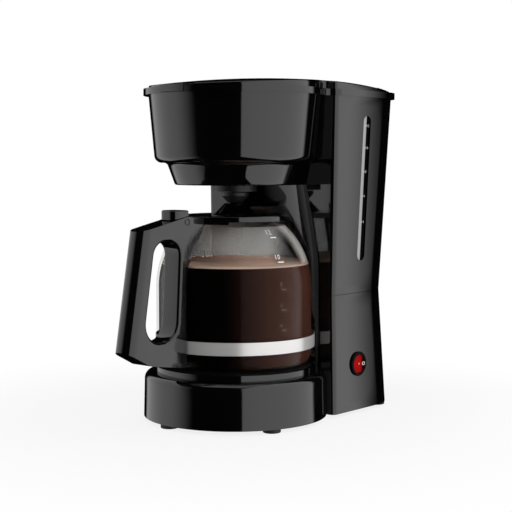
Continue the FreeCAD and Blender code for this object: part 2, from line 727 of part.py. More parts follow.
def brew_head():
    hole = S.valve_foot + S.chamber_clear + S.nozzle_wall + S.nozzle_clear
    inner_top = D.drum - S.wall
    ledge_wall = inner_top - D.drum_lean * S.ledge_drop
    ledge_under = D.ledge - S.ledge_thick
    under_wall = inner_top - D.drum_lean * (S.ledge_drop + S.ledge_thick)
    floor = D.head_low + S.wall
    shelf = D.head_step + S.wall
    corners = [(hole, D.head_low), (D.funnel_low, D.head_low, S.wall),
               (D.funnel, D.head_step, S.funnel_round),
               (D.drum_low, D.head_step, S.drum_round), (D.drum, D.head_top), (inner_top, D.head_top),
               (ledge_wall, D.ledge), (ledge_wall - S.ledge_width, D.ledge),
               (ledge_wall - S.ledge_width, ledge_under), (under_wall, ledge_under),
               (D.drum_low - S.wall, shelf, S.drum_round - S.wall), (D.funnel - S.wall, shelf),
               (D.funnel_low - S.wall, floor), (hole, floor)]
    cup = turned("brew_drum", corners)
    sides = body_of("funnel_sides")
    turn = math.radians(S.cheek_start.value)
    plans = []
    for height, radius, half in ((D.head_low, D.funnel_low, S.cheek_low),
                                 (D.head_step, D.funnel, S.cheek_low + S.cheek_flare)):
        wide = radius * Size(math.cos(turn), "cos(sizes.cheek_start * 1deg)")
        ahead = radius * Size(math.sin(turn), "sin(sizes.cheek_start * 1deg)")
        rear = S.tower_front - S.gap
        plans.append(outline(sides, "XY_Plane", [(wide, ahead), (half, rear), (-half, rear),
                                                 (-wide, ahead)], height))
    loft(sides, *plans)
    well = turned("funnel_well", [
        (0, D.head_low - S.overrun), (D.funnel_low - S.wall, D.head_low - S.overrun),
        (D.funnel_low - S.wall, D.head_low), (D.funnel - S.wall, D.head_step),
        (D.funnel - S.wall, D.head_step + S.overrun), (0, D.head_step + S.overrun)])
    return finish(fuse("brew_cup", cup, cut("funnel_cheeks", sides, well)), "brew_head")


def brew_basket():
    ledge_wall = D.drum - S.wall - D.drum_lean * S.ledge_drop
    top = ledge_wall - S.ledge_width - S.basket_clear
    low = D.funnel_low - S.wall - S.basket_clear
    flange = ledge_wall - S.gap
    chamber = S.valve_foot + S.chamber_clear
    nozzle = chamber + S.nozzle_wall
    nozzle_low = D.basket_low - S.nozzle_height
    hole = S.valve_shaft + S.drain_clear
    flange_top = D.ledge + S.basket_flange
    corners = [(hole, D.basket_low), (chamber, D.basket_low), (chamber, nozzle_low), (nozzle, nozzle_low),
               (nozzle, D.basket_low), (low, D.basket_low, S.basket_round), (top, D.ledge),
               (flange, D.ledge),
               (flange, flange_top), (top - S.basket_wall, flange_top),
               (low - S.basket_wall, D.basket_floor, S.basket_round - S.basket_wall),
               (hole, D.basket_floor)]
    return finish(turned("basket_cup", corners), "brew_basket")


def drip_valve():
    seal_low = D.basket_floor + S.gap / 2
    seal_top = seal_low + S.valve_seal_thick
    head_top = seal_top + S.valve_head_height
    stem = [(0, D.valve_low), (S.valve_tip, D.valve_low), (S.valve_foot, D.disc_low),
            (S.valve_foot, D.disc_top),
            (S.valve_shaft, D.disc_top), (S.valve_shaft, seal_low), (S.valve_neck, seal_low),
            (S.valve_neck, seal_top), (S.valve_head, seal_top), (S.valve_head, head_top), (0, head_top)]
    finish(turned("valve_turning", stem), "drip_valve_stem")
    bore = S.valve_neck + S.run
    rim = S.valve_shaft + S.drain_clear + S.valve_seal_overlap
    seal = [(bore, seal_low), (rim, seal_low), (rim, seal_top), (bore, seal_top)]
    finish(turned("valve_washer", seal), "drip_valve_seal")


def arc_through(radius, pitch, start, angle, z):
    # One stretch of a helix as an arc through three of its points.
    points = []
    for share in (0.0, 0.5, 1.0):
        turn = start + angle * share
        rise = z + pitch * (turn / (2 * math.pi))
        points.append(FreeCAD.Vector(radius * math.cos(turn), radius * math.sin(turn), rise))
    return Part.Arc(*points)


def drip_valve_spring():
    radius = S.valve_shaft.value + S.spring_clear.value
    wire = S.spring_wire.value / 2
    low = D.disc_top.value + wire
    pitch = (S.spring_length.value - 2 * wire) / SPRING_TURNS
    quarter = math.pi / 2
    arcs = [arc_through(radius, pitch, i * quarter, quarter, low) for i in range(4 * SPRING_TURNS)]
    path = Part.Wire([arc.toShape() for arc in arcs])
    ends = path.OrderedVertexes
    heading = path.OrderedEdges[0].tangentAt(path.OrderedEdges[0].FirstParameter)
    ring = Part.Wire([Part.makeCircle(wire, ends[0].Point, heading)])
    coil = path.makePipeShell([ring], True, False)
    print("spring: least gap between turns", round(pitch - 2 * wire, 2))
    return finish_shape(coil, "drip_valve_spring")


def rim_outline(body, height, grow):
    # Plan of the band around the top: the drum's circle and the tower's plan, both grown.
    radius = D.drum + S.rim_overhang + grow
    half = D.half_top + S.rim_tower_overhang + grow
    front = S.tower_front - S.rim_tower_overhang - grow
    back = D.rim_back + grow
    turn = S.back_round + S.rim_tower_overhang + grow
    nose = S.front_round + S.rim_tower_overhang + grow
    tower = [(half, front, nose), (half, back, turn), (-half, back, turn), (-half, front, nose)]
    return disc(body, "XY_Plane", radius, 0, 0, height), outline(body, "XY_Plane", tower, height)


def rim_slab(name, low, high, grow):
    body = body_of(name)
    for sketch in rim_outline(body, low, grow):
        pad(body, sketch, high - low)
    front = (S.tower_front - S.rim_tower_overhang - grow).value
    inside = (D.half_top - S.front_round).value - 1
    soften(body, S.rim_hollow, lambda edge: is_upright(edge) and abs(edge.BoundBox.YMin - front) < 0.01
           and abs(edge.BoundBox.XMin) < inside)
    return body


def is_upright(edge):
    return edge.BoundBox.XLength < 0.001 and edge.BoundBox.YLength < 0.001


def filler_corners():
    half = D.half_top - S.filler_side
    front = D.opening_radius + S.rim_bridge
    back = D.hinge_y - S.filler_back
    turn = S.filler_round
    return [(half, front, turn), (half, back, turn), (-half, back, turn), (-half, front, turn)]


def top_deck():
    slab = rim_slab("rim_slab", D.head_top, D.rim_top, 0)
    below = D.head_top - S.overrun
    height = S.rim_height + 2 * S.overrun
    filler = body_of("filler_hole")
    pad(filler, outline(filler, "XY_Plane", filler_corners(), below), height)
    basket_hole = cylinder("basket_hole", D.opening_radius, height, 0, 0, below)
    reach = D.drum + S.rim_overhang + S.overrun
    half = S.tab_half + S.hinge_slot
    notch = box("tab_notch", (-half, -reach, D.rim_top - S.tab_drop - S.gap),
                (half, -D.opening_radius / 2, D.rim_top + S.overrun))
    slot = S.tube_radius + S.hinge_slot
    gate = box("riser_gate", (-slot, D.opening_radius / 2, below),
               (slot, D.riser_y, D.rim_top + S.overrun))
    return finish(cut("rim_cut", slab, filler, basket_hole, notch, gate), "top_deck")


def crown(name, low, grow, depth):
    # The lid's outline under its crown: a slab cut off by a large sphere.
    slab = rim_slab(name + "_slab", low, D.apex + S.overrun, grow)
    ball = sphere(name + "_ball", D.lid_sphere - depth, 0, D.lid_middle, D.apex - D.lid_sphere,
                  ALONG_Y)
    return common(name, slab, ball)


def rounded_crown(name, item, radius):
    # Rounds the edge around the crown's spherical face.
    doc.recompute()
    crowns = [face for face in item.Shape.Faces if isinstance(face.Surface, Part.Sphere)]
    rim = [edge for face in crowns for edge in face.Edges]
    picks = [i for i,
             edge in enumerate(item.Shape.Edges, start=1) if any(edge.isSame(other) for other in rim)]
    result = doc.addObject("Part::Fillet", name)
    result.Base = item
    result.Edges = [(i, radius.value, radius.value) for i in picks]
    return result


def lid():
    low = D.rim_top + S.gap
    inset = -S.lid_inset
    soft = rounded_crown("lid_soft", crown("lid_crown", low, inset, 0), S.lid_round)
    hollow = crown("lid_hollow", low - S.overrun, inset - S.lid_wall, S.lid_wall)
    wide = D.lid_half + S.overrun
    rear = D.hinge_y - D.barrel - S.hinge_slot
    back = D.rim_back + S.overrun
    top = D.apex + S.overrun
    behind = box("lid_behind", (-wide, rear, low - S.overrun), (wide, back, top))
    shell = cut("lid_shell", soft, hollow, behind)
    half = D.barrel_half
    barrel = cylinder("lid_barrel", D.barrel, half * 2, -half, D.hinge_y, D.hinge_z, ALONG_X)
    leaf = box("lid_leaf", (-half, rear - S.lid_wall, D.hinge_z), (half, D.hinge_y, D.hinge_z + D.barrel))
    reach = D.drum + S.rim_overhang + S.tab_proud
    inner = D.drum + S.rim_overhang - S.lid_inset
    tab = box("lid_tab", (-S.tab_half, -reach, D.rim_top - S.tab_drop),
              (S.tab_half, -(inner - S.lid_wall * 2), D.rim_top + S.tab_rise))
    tab_round = cylinder("tab_round", reach, S.tab_drop + S.tab_rise, 0, 0, D.rim_top - S.tab_drop)
    solid = fuse("lid_solid", shell, barrel, leaf, common("tab_plate", tab, tab_round))
    bore = cylinder("lid_bore", S.hinge_radius + S.run, (half + S.overrun) * 2, -half - S.overrun,
                    D.hinge_y, D.hinge_z, ALONG_X)
    return finish(cut("lid_bored", solid, bore), "lid")


def rear_deck():
    low = D.rim_top
    strip = rounded_crown("strip_soft", crown("strip_crown", low, -S.lid_inset, 0), S.lid_round)
    wide = D.lid_half + S.overrun
    front = D.hinge_y + D.barrel + S.strip_clear
    ahead = D.drum + S.rim_overhang + S.overrun
    fore = box("strip_fore", (-wide, -ahead, low - S.overrun), (wide, front, D.apex + S.overrun))
    kept = cut("strip_kept", strip, fore)
    near = D.barrel_half + S.hinge_slot
    lugs = []
    for side, start in (("right", near), ("left", -near - S.hinge_lug)):
        ear = cylinder("ear_" + side, D.barrel, S.hinge_lug, start, D.hinge_y, D.hinge_z, ALONG_X)
        arm = box("ear_arm_" + side, (start, D.hinge_y, low),
                  (start + S.hinge_lug, front + S.wall, D.hinge_z + D.barrel * LUG_TOP))
        lugs += [ear, arm]
    far = near + S.hinge_lug + S.overrun
    bore = cylinder("strip_bore", S.hinge_radius + S.run, far * 2, -far, D.hinge_y, D.hinge_z, ALONG_X)
    return finish(cut("strip_bored", fuse("strip_solid", kept, *lugs), bore), "rear_deck")


def lid_hinge_pin():
    half = D.barrel_half + S.hinge_slot + S.hinge_lug
    body = body_of("hinge_rod")
    pad(body, disc(body, "YZ_Plane", S.hinge_radius), half * 2, True)
    return finish(body, "lid_hinge_pin", 0, D.hinge_y, D.hinge_z)


def lid_underside(x, y):
    # Height of the lid's inner face above a place.
    radius = D.lid_sphere - S.lid_wall
    away = x * x + (y - D.lid_middle) * (y - D.lid_middle)
    return D.apex - D.lid_sphere + (radius * radius - away).root()


def spreader():
    low = D.rim_top - S.dish_drop
    high = low + S.dish_depth
    floor = low + S.dish_wall
    body = turned("spreader_dish", [
        (0, low), (S.dish_radius - S.dish_slope, low),
        (S.dish_radius, high), (S.dish_radius - S.dish_wall, high),
        (S.dish_radius - S.dish_slope - S.dish_wall / 2, floor), (0, floor)])
    hole = pocket(body, disc(body, "XY_Plane", S.dish_hole, 0, S.dish_hole_ring, low), S.dish_wall * 2,
                  True)
    doc.recompute()
    pattern = body.newObject("PartDesign::PolarPattern", "shower_holes")
    pattern.Originals = [hole]
    pattern.Axis = (origin_part(body, "Z_Axis"), [""])
    pattern.Angle = 360.0
    pattern.Occurrences = SHOWER_HOLES
    body.Tip = pattern
    start = S.dish_radius - S.dish_slope
    end = D.opening_radius - S.wall
    half = S.trough_half
    bed = low + S.dish_depth / 2
    trough = box("trough_bar", (-half, start, bed - S.dish_wall), (half, end, high))
    channel = box("trough_channel", (S.dish_wall - half, start - S.dish_slope, bed),
                  (half - S.dish_wall, end + S.overrun, high + S.overrun))
    posts = []
    for index, angle in enumerate((-90.0, 30.0, 150.0)):
        x = S.post_ring * math.cos(math.radians(angle))
        y = S.post_ring * math.sin(math.radians(angle))
        height = lid_underside(x, y) - S.gap - floor
        posts.append(cylinder("post_%d" % index, S.post_radius, height, x, y, floor))
    open_trough = cut("trough_open", fuse("dish_and_trough", body, trough), channel)
    return finish(fuse("spreader_solid", open_trough, *posts), "spreader")


def reservoir_tank():
    low = D.waist
    high = D.head_top - S.tank_drop
    inset = D.tank_inset
    inner = inset + S.tank_wall
    corner = S.tank_wall / 2
    shell = cut("tank_shell",
                upper_column("tank_outside", low, high, inset, corner, inset),
                upper_column("tank_inside", low + S.tank_wall, high + S.overrun, inner, corner, inner))
    grommet = S.tube_radius + S.run + S.grommet_wall
    height = S.tank_wall + S.overrun * 2
    below = low - S.overrun
    riser = cylinder("tank_riser_hole", grommet + S.run, height, 0, D.riser_y, below)
    spigot = S.tube_radius + S.grommet_wall
    outlet = cylinder("tank_outlet_hole", spigot + S.run, height, -D.element_mid, D.riser_y, below)
    return finish(cut("tank_drilled", shell, riser, outlet), "reservoir_tank")


def smooth_path(points, bend):
    # Straight runs joined by tangent arcs.
    edges = []
    start = points[0]
    for before, corner, after in zip(points, points[1:], points[2:]):
        back = (before - corner).normalize()
        ahead = (after - corner).normalize()
        half = back.getAngle(ahead) / 2
        reach = bend / math.tan(half)
        entry = corner + back * reach
        leave = corner + ahead * reach
        depth = bend / math.sin(half) - bend
        middle = corner + (back + ahead).normalize() * depth
        edges.append(Part.LineSegment(start, entry).toShape())
        edges.append(Part.Arc(entry, middle, leave).toShape())
        start = leave
    edges.append(Part.LineSegment(start, points[-1]).toShape())
    return Part.Wire(edges)


def swept(path, radius):
    heading = path.OrderedEdges[0].tangentAt(path.OrderedEdges[0].FirstParameter)
    ring = Part.Wire([Part.makeCircle(radius, path.OrderedVertexes[0].Point, heading)])
    return path.makePipeShell([ring], True, False)


def tube(points, bend, radius, bore):
    path = smooth_path([FreeCAD.Vector(*point) for point in points], bend)
    return swept(path, radius).cut(swept(path, bore))


def riser_pipe():
    run_z = D.head_top.value + S.tube_radius.value + S.wall.value / 2
    foot = D.waist.value - S.riser_drop.value
    y = D.riser_y.value
    end = D.opening_radius.value + S.riser_end.value
    points = [(0, y, foot), (0, y, run_z), (0, end, run_z)]
    return finish_shape(tube(points, S.riser_bend.value, S.tube_radius.value, D.tube_bore.value),
                        "riser_pipe")


def riser_grommet():
    bore = S.tube_radius + S.run
    neck = bore + S.grommet_wall
    rim = neck + S.grommet_flange
    low = D.waist - S.wall - S.grommet_flange
    floor = D.waist + S.tank_wall
    corners = [(bore, low), (rim, low), (rim, D.waist - S.wall), (neck, D.waist - S.wall), (neck, floor),
               (rim, floor), (rim, floor + S.grommet_flange), (bore, floor + S.grommet_flange)]
    return finish(turned("grommet_ring", corners), "riser_grommet", 0, D.riser_y)


def foot_places():
    # Three feet around the round base, and one in each rear corner.
    inset = S.foot_radius + S.foot_margin
    places = []
    for angle in FRONT_FEET:
        turn = math.radians(angle)
        places.append(((D.base - inset) * math.sin(turn), (inset - D.base) * math.cos(turn)))
    turn = math.radians(REAR_FEET)
    side = D.half_foot - S.back_round + (S.back_round - inset) * math.sin(turn)
    rear = D.back_foot - S.back_round + (S.back_round - inset) * math.cos(turn)
    return places + [(side, rear), (-side, rear)]


def cover_boss_places():
    front = (D.opening + S.clamp_boss) * math.sqrt(0.5)
    side = D.half_waist - S.wall - S.clamp_boss * 2
    return [(front, -front), (-front, -front), (side, D.riser_y), (-side, D.riser_y)]


def clamp_boss_reach():
    return D.opening + S.clamp_boss + S.gap


def base_housing():
    shell_low = S.foot_height
    outside = lower_column("base_outside", shell_low, D.waist, 0, S.front_round)
    edge = D.base - S.base_draft
    lip_in = D.ring - S.ring_lip
    revolve(outside, outline(outside, "XZ_Plane", [
        (0, shell_low), (D.base, shell_low), (edge, D.deck, S.shoulder_round), (D.ring, D.deck),
        (D.ring, D.ring_top), (lip_in, D.ring_top), (lip_in, D.seal_seat), (0, D.seal_seat)]))
    inside = lower_column("base_inside", shell_low - S.overrun, D.waist - S.wall, S.wall,
                          S.front_round - S.wall)
    ceiling = D.deck - S.wall
    revolve(inside, outline(inside, "XZ_Plane", [
        (0, shell_low - S.overrun), (D.base - S.wall, shell_low - S.overrun),
        (edge - S.wall, ceiling, S.shoulder_round - S.wall), (D.opening, ceiling),
        (D.opening, D.ring_top), (0, D.ring_top)]))
    shell = cut("base_shell", outside, inside)
    lip_inset = S.wall + S.gap
    lip_low = D.waist - S.overrun
    lip_high = D.waist + S.lip_height
    lip = cut("base_lip",
              upper_column("lip_outside", lip_low, lip_high, lip_inset, S.front_round - lip_inset,
                           lip_inset),
              upper_column("lip_inside", lip_low - S.overrun, lip_high + S.overrun, lip_inset + S.lip,
                           S.lip / 4,
                           lip_inset + S.lip))
    posts = []
    bores = []
    cover_top = S.foot_height + S.cover_thick
    for index, (x, y) in enumerate(cover_boss_places()):
        top = ceiling + S.wall / 2 if index < 2 else D.waist - S.wall / 2
        posts.append(cylinder("cover_post_%d" % index, S.clamp_boss, top - cover_top, x, y, cover_top))
        bores.append(cylinder("cover_bore_%d" % index, S.screw_radius + S.run, S.base_height / 2, x, y,
                              cover_top))
    clamp_top = D.tube_z - S.tube_radius - S.gap
    for index, side in enumerate((1, -1)):
        x = clamp_boss_reach() * side
        posts.append(cylinder("clamp_post_%d" % index, S.clamp_boss, ceiling + S.wall / 2 - clamp_top, x,
                              0, clamp_top))
        bores.append(cylinder("clamp_bore_%d" % index, S.screw_radius + S.run, ceiling - clamp_top, x, 0,
                              clamp_top))
    grommet = S.tube_radius + S.run + S.grommet_wall + S.run
    under = D.waist - S.wall - S.overrun
    deep = S.wall + S.overrun * 2
    spigot = S.tube_radius + S.grommet_wall + S.run
    bores.append(cylinder("base_riser_hole", grommet, deep, 0, D.riser_y, under))
    bores.append(cylinder("base_outlet_hole", spigot, deep, -D.element_mid, D.riser_y, under))
    switch_hole = S.rocker_radius + S.gap + S.bezel_wall + S.gap
    inner = D.half_waist - S.wall * 2
    bores.append(cylinder("switch_hole", switch_hole, S.wall * 4 + S.foot_flare, inner, switch_y(),
                          switch_z(), ALONG_X))
    gland_hole = S.gland_bore + S.gland_wall + S.run
    bores.append(cylinder("gland_hole", gland_hole, S.back_foot_flare + S.wall * 4, S.gland_side,
                          D.back_waist - S.wall * 2, gland_z(), ALONG_Y))
    solid = fuse("base_solid", shell, lip, *posts)
    return finish(cut("base_drilled", solid, *bores), "base_housing")


def switch_y():
    return S.tower_front + S.switch_set


def switch_z():
    return S.foot_height + S.switch_rise


def side_at(height):
    share = (height - S.foot_height) / (D.waist - S.foot_height)
    return between(D.half_foot, D.half_waist, share)


def gland_z():
    return S.foot_height + S.gland_rise


def back_at(height):
    share = (height - S.foot_height) / (D.waist - S.foot_height)
    return between(D.back_foot, D.back_waist, share)


def base_cover():
    low = S.foot_height
    body = body_of("cover_plate")
    pad(body, disc(body, "XY_Plane", D.base - S.wall - S.gap, 0, 0, low), S.cover_thick)
    inset = S.wall + S.gap
    drawn = plan(body, low, D.half_foot - S.foot_flare * COVER_DRAWN_IN,
                 D.back_foot - S.back_foot_flare * COVER_DRAWN_IN, inset,
                 S.front_round - inset)
    pad(body, drawn, S.cover_thick)
    holes = []
    deep = S.cover_thick + S.overrun * 2
    for index, (x, y) in enumerate(cover_boss_places()):
        holes.append(cylinder("cover_hole_%d" % index, S.screw_radius + S.run, deep, x, y,
                              low - S.overrun))
    for index, (x, y) in enumerate(foot_places()):
        holes.append(cylinder("stem_hole_%d" % index, S.foot_stem + S.run, deep, x, y, low - S.overrun))
    return finish(cut("cover_drilled", body, *holes), "base_cover")


def feet():
    top = S.foot_height
    plug = top + S.cover_thick
    for index, (x, y) in enumerate(foot_places(), start=1):
        body = turned("foot_turning_%d" % index, [
            (0, 0), (S.foot_radius, 0, S.foot_height / 4), (S.foot_radius, top), (S.foot_stem, top),
            (S.foot_stem, plug), (S.foot_stem * PLUG_BARB, plug),
            (S.foot_stem, plug + S.foot_stem), (0, plug + S.foot_stem)])
        finish(body, "foot_%d" % index, x, y)


def screw_body(name, length):
    # A pan-head screw, its head below the origin and its shank above.
    return turned(name, [
        (0, -S.screw_head_height), (S.screw_head, -S.screw_head_height,
                                    S.screw_head_height / 2), (S.screw_head, 0),
        (S.screw_radius, 0), (S.screw_radius, length), (0, length + S.screw_radius)])


def cover_screws():
    length = S.cover_thick + S.base_height / 4
    low = S.foot_height
    for index, (x, y) in enumerate(cover_boss_places(), start=1):
        finish(screw_body("cover_screw_turning_%d" % index, length), "cover_screw_%d" % index, x, y, low)


def warming_plate():
    slope_foot = D.plate_face + S.plate_slope
    inner = D.plate_face - S.plate_thick / 2
    under_foot = slope_foot - S.plate_thick / 2
    corners = [(0, D.plate_under), (inner, D.plate_under), (under_foot, D.flange_low),
               (D.flange, D.flange_low), (D.flange, D.flange_top), (slope_foot, D.flange_top),
               (D.plate_face, D.plate_top), (0, D.plate_top)]
    return finish(turned("plate_pressing", corners), "warming_plate")


def plate_seal():
    inner = D.opening + S.gap
    corners = [(inner, D.seal_seat), (D.flange, D.seal_seat), (D.flange, D.flange_low),
               (inner, D.flange_low)]
    return finish(turned("seal_ring", corners), "plate_seal")


def horseshoe(name, outer, leg):
    # A U in plan: half a disc at the front and straight legs to the back.
    body = body_of(name)
    low = D.tube_z
    pad(body, disc(body, "XY_Plane", outer, 0, 0, low), S.element_height)
    pad(body, outline(body, "XY_Plane", [(-outer, 0), (outer, 0), (outer, leg), (-outer, leg)], low),
        S.element_height)
    return body


def element_leg():
    return D.element_out * LEG_SHARE


def heater_element():
    inner = D.element_out - S.element_half * 2
    hollow = body_of("element_hollow")
    low = D.tube_z - S.overrun
    deep = S.element_height + S.overrun * 2
    far = D.element_out * 2
    pad(hollow, disc(hollow, "XY_Plane", inner, 0, 0, low), deep)
    pad(hollow, outline(hollow, "XY_Plane", [(-inner, 0), (inner, 0), (inner, far), (-inner, far)], low),
        deep)
    casting = cut("element_casting", horseshoe("element_block", D.element_out, element_leg()), hollow)
    pipes = []
    for name, radius, extra in (("element_tube", S.tube_radius, 0),
                                ("element_bore", D.tube_bore, S.overrun)):
        turn = doc.addObject("Part::Torus", name + "_bend")
        bind(turn, "Radius1", D.element_mid)
        bind(turn, "Radius2", radius)
        turn.Angle3 = 180.0
        place(turn, 0, 0, D.tube_z, FreeCAD.Rotation(FreeCAD.Vector(0, 0, 1), 180))
        legs = [cylinder("%s_leg_%d" % (name, side), radius, D.tube_end + extra, D.element_mid * side, 0,
                         D.tube_z,
                         ALONG_Y) for side in (0 - 1, 1)]
        pipes.append(fuse(name, turn, *legs))
    return finish(cut("element_bored", fuse("element_solid", casting, pipes[0]), pipes[1]),
                  "heater_element")


def heater_clamp():
    top = D.tube_z - S.tube_radius - S.gap
    low = top - S.clamp_thick
    half = clamp_boss_reach() + S.clamp_boss
    bar = box("clamp_bar", (-half, -S.clamp_half, low), (half, S.clamp_half, top))
    holes = []
    for index, side in enumerate((1, -1)):
        holes.append(cylinder("clamp_hole_%d" % index, S.screw_radius + S.run,
                              S.clamp_thick + S.overrun * 2,
                              clamp_boss_reach() * side, 0, low - S.overrun))
    finish(cut("clamp_drilled", bar, *holes), "heater_clamp")
    for index, side in enumerate((1, -1), start=1):
        body = screw_body("clamp_screw_turning_%d" % index, S.clamp_thick + S.screw_radius * 2)
        finish(body, "clamp_screw_%d" % index, clamp_boss_reach() * side, 0, low)


def thermostat():
    foot = D.tube_z - S.tube_radius - S.gap
    top = D.plate_under
    low = top - S.thermostat_height
    stem = S.thermostat_radius / 2
    corners = [(0, foot), (stem, foot), (stem, low), (S.thermostat_radius, low),
               (S.thermostat_radius, top), (0, top)]
    return finish(turned("thermostat_cap", corners), "thermostat")


def thermal_fuse():
    x = D.element_out - S.element_half * 2 - S.gap - S.fuse_radius
    z = D.plate_under - S.gap - S.fuse_radius
    body = body_of("fuse_rod")
    pad(body, disc(body, "XZ_Plane", S.fuse_radius), S.fuse_length, True)
    return finish(body, "thermal_fuse", x, element_leg() / 2, z)


def check_valve():
    top = D.waist - S.wall
    low = top - S.barrel_height
    spigot = S.tube_radius + S.grommet_wall
    chamber = S.ball_radius + S.ball_clear
    sit = (S.ball_radius * S.ball_radius - S.ball_seat * S.ball_seat).root()
    seat = low + S.wall * 2
    rest = seat + sit + S.gap / 2
    stop = rest + S.ball_lift + sit + S.gap / 2
    barb = low - S.barb_length
    spout = D.waist + S.tank_wall
    corners = [(S.ball_seat, barb), (S.tube_radius, barb), (S.tube_radius, low), (S.barrel_radius, low),
               (S.barrel_radius, top), (spigot, top), (spigot, spout),
               (S.ball_seat, spout), (S.ball_seat, stop),
               (chamber, stop), (chamber, seat), (S.ball_seat, seat)]
    body = turned("valve_barrel", corners)
    half = S.ball_seat / 4
    bypass = outline(body, "XY_Plane", [(-chamber, -half), (chamber, -half), (chamber, half),
                                        (-chamber, half)], seat)
    pocket(body, bypass, S.wall)
    finish(body, "check_valve_body", -D.element_mid, D.riser_y)
    ball = body_of("ball_turning")
    marble = ball.newObject("PartDesign::AdditiveSphere", "ball_sphere")
    bind(marble, "Radius", S.ball_radius)
    finish(ball, "check_ball", -D.element_mid, D.riser_y, rest)


def tank_outlet_seal():
    bore = S.tube_radius + S.grommet_wall + S.run
    rim = bore + S.grommet_flange
    low = D.waist + S.tank_wall
    corners = [(bore - S.wall / 2, low), (rim, low), (rim, low + S.wall / 2),
               (bore - S.wall / 2, low + S.wall / 2)]
    return finish(turned("outlet_ring", corners), "tank_outlet_seal", -D.element_mid, D.riser_y)


def hoses():
    start = (D.tube_end - S.hose_grip).value
    y = D.riser_y.value
    z = D.tube_z.value
    x = D.element_mid.value
    bore = S.tube_radius.value + S.run.value
    outer = D.hose.value
    valve_low = D.waist.value - S.wall.value - S.barrel_height.value
    inlet = [(-x, start, z), (-x, y, z), (-x, y, valve_low)]
    finish_shape(tube(inlet, S.hose_bend.value, outer, bore), "inlet_hose")
    foot = D.waist.value - S.riser_drop.value + S.hose_grip.value
    mid = (z + foot) / 2
    outlet = [(x, start, z), (x, y, z), (0, y, mid), (0, y, foot)]
    finish_shape(tube(outlet, S.hose_bend.value * OUTLET_BEND, outer, bore), "outlet_hose")
    bore = D.hose + S.run
    half = S.clip_width / 2
    ring = [(bore, -half), (bore + S.clip_wall, -half), (bore + S.clip_wall, half), (bore, half)]
    grip = S.hose_grip / 2
    lying = D.tube_end - grip
    barb = D.waist - S.wall - S.barrel_height - grip
    riser = D.waist - S.riser_drop + grip
    places = [(-D.element_mid, lying, D.tube_z, ALONG_Y), (D.element_mid, lying, D.tube_z, ALONG_Y),
              (-D.element_mid, D.riser_y, barb, None), (as_size(0), D.riser_y, riser, None)]
    for index, (clip_x, clip_y, clip_z, turn) in enumerate(places, start=1):
        finish(turned("clip_ring_%d" % index, ring), "hose_clip_%d" % index, clip_x, clip_y, clip_z, turn)


def switch(housing):
    side = side_at(switch_z())
    bore = S.rocker_radius + S.gap
    can = bore + S.bezel_wall
    rim = can + S.bezel_flange
    well = -(S.switch_depth - S.switch_back)
    seat = -S.wall / 2
    blank = turned("bezel_turning", [
        (0, -S.switch_depth), (can, -S.switch_depth), (can, seat), (rim, seat),
        (rim, S.bezel_proud, S.bezel_proud / 2), (bore, S.bezel_proud), (bore, well), (0, well)])
    place(blank, side, switch_y() + D.shift, switch_z(), ALONG_X)
    pivot = cylinder("pivot_hole", S.rocker_pin + S.run, can * 2 + S.overrun, side, switch_y() + D.shift,
                     switch_z() - can - S.overrun / 2)
    bezel = cut("bezel_seated", blank, housing, pivot)
    bezel.Label = "switch_bezel"
    finished.append(bezel)
    rise = math.tan(math.radians(S.rocker_swing.value))
    wedge = body_of("rocker_wedge")
    half = S.rocker_radius + S.overrun
    slope = Size(rise, "tan(sizes.rocker_swing * 1deg)")
    corners = [(side - S.rocker_depth, -half), (side + S.rocker_face, -half), (side + S.rocker_face, 0),
               (side + S.rocker_face + slope * half, half), (side - S.rocker_depth, half)]
    pad(wedge, outline(wedge, "XY_Plane", corners), half * 2, True)
    round_limit = sphere("rocker_round", S.rocker_radius, side, 0, 0, ALONG_X)
    paddle = common("rocker_paddle", wedge, round_limit)
    length = can * 2 - S.bezel_wall
    trunnion = cylinder("rocker_trunnion", S.rocker_pin, length, side, 0, -length / 2)
    finish(fuse("rocker_solid", paddle, trunnion), "switch_rocker", 0, switch_y(), switch_z())


def cord_gland(housing):
    neck = S.gland_bore + S.gland_wall
    rim = neck + S.gland_flange
    back = back_at(gland_z())
    inner = S.wall * GLAND_GRIP
    blank = turned("gland_turning", [
        (S.gland_bore, -S.gland_depth), (neck, -S.gland_depth), (neck, -inner), (rim, -inner),
        (rim, S.gland_proud, S.gland_proud / 2), (S.gland_bore, S.gland_proud)])
    place(blank, S.gland_side, back + D.shift, gland_z(), ALONG_Y)
    gland = cut("gland_seated", blank, housing)
    gland.Label = "cord_gland"
    finished.append(gland)


def carafe_glass():
    radius = S.carafe_radius
    inner = radius - S.glass
    heel = radius - S.heel_inset
    floor = D.glass_low + S.glass
    wide = D.glass_low + S.heel_rise
    across = radius - S.neck_radius
    slant = (across * across + S.neck_rise * S.neck_rise).root()
    drop = S.glass * (slant - S.neck_rise) / across
    corners = [(0, D.glass_low), (heel, D.glass_low, S.heel_round), (radius, wide),
               (radius, D.shoulder, S.shoulder_sweep),
               (S.neck_radius, D.neck, S.neck_round), (S.neck_radius, D.mouth), (S.neck_radius - S.glass,
                                                                                 D.mouth),
               (S.neck_radius - S.glass, D.neck - drop, S.neck_round + S.glass),
               (inner, D.shoulder - drop, S.shoulder_sweep - S.glass), (inner, wide),
               (heel - S.glass, floor, S.heel_round - S.glass), (0, floor)]
    return finish(turned("glass_blowing", corners), "carafe_glass")


def handle_screw_y():
    return -(D.handle_in + S.lug_reach / 2 - S.handle_gap)


def lug_z():
    return (D.band_low + D.band_high) / 2


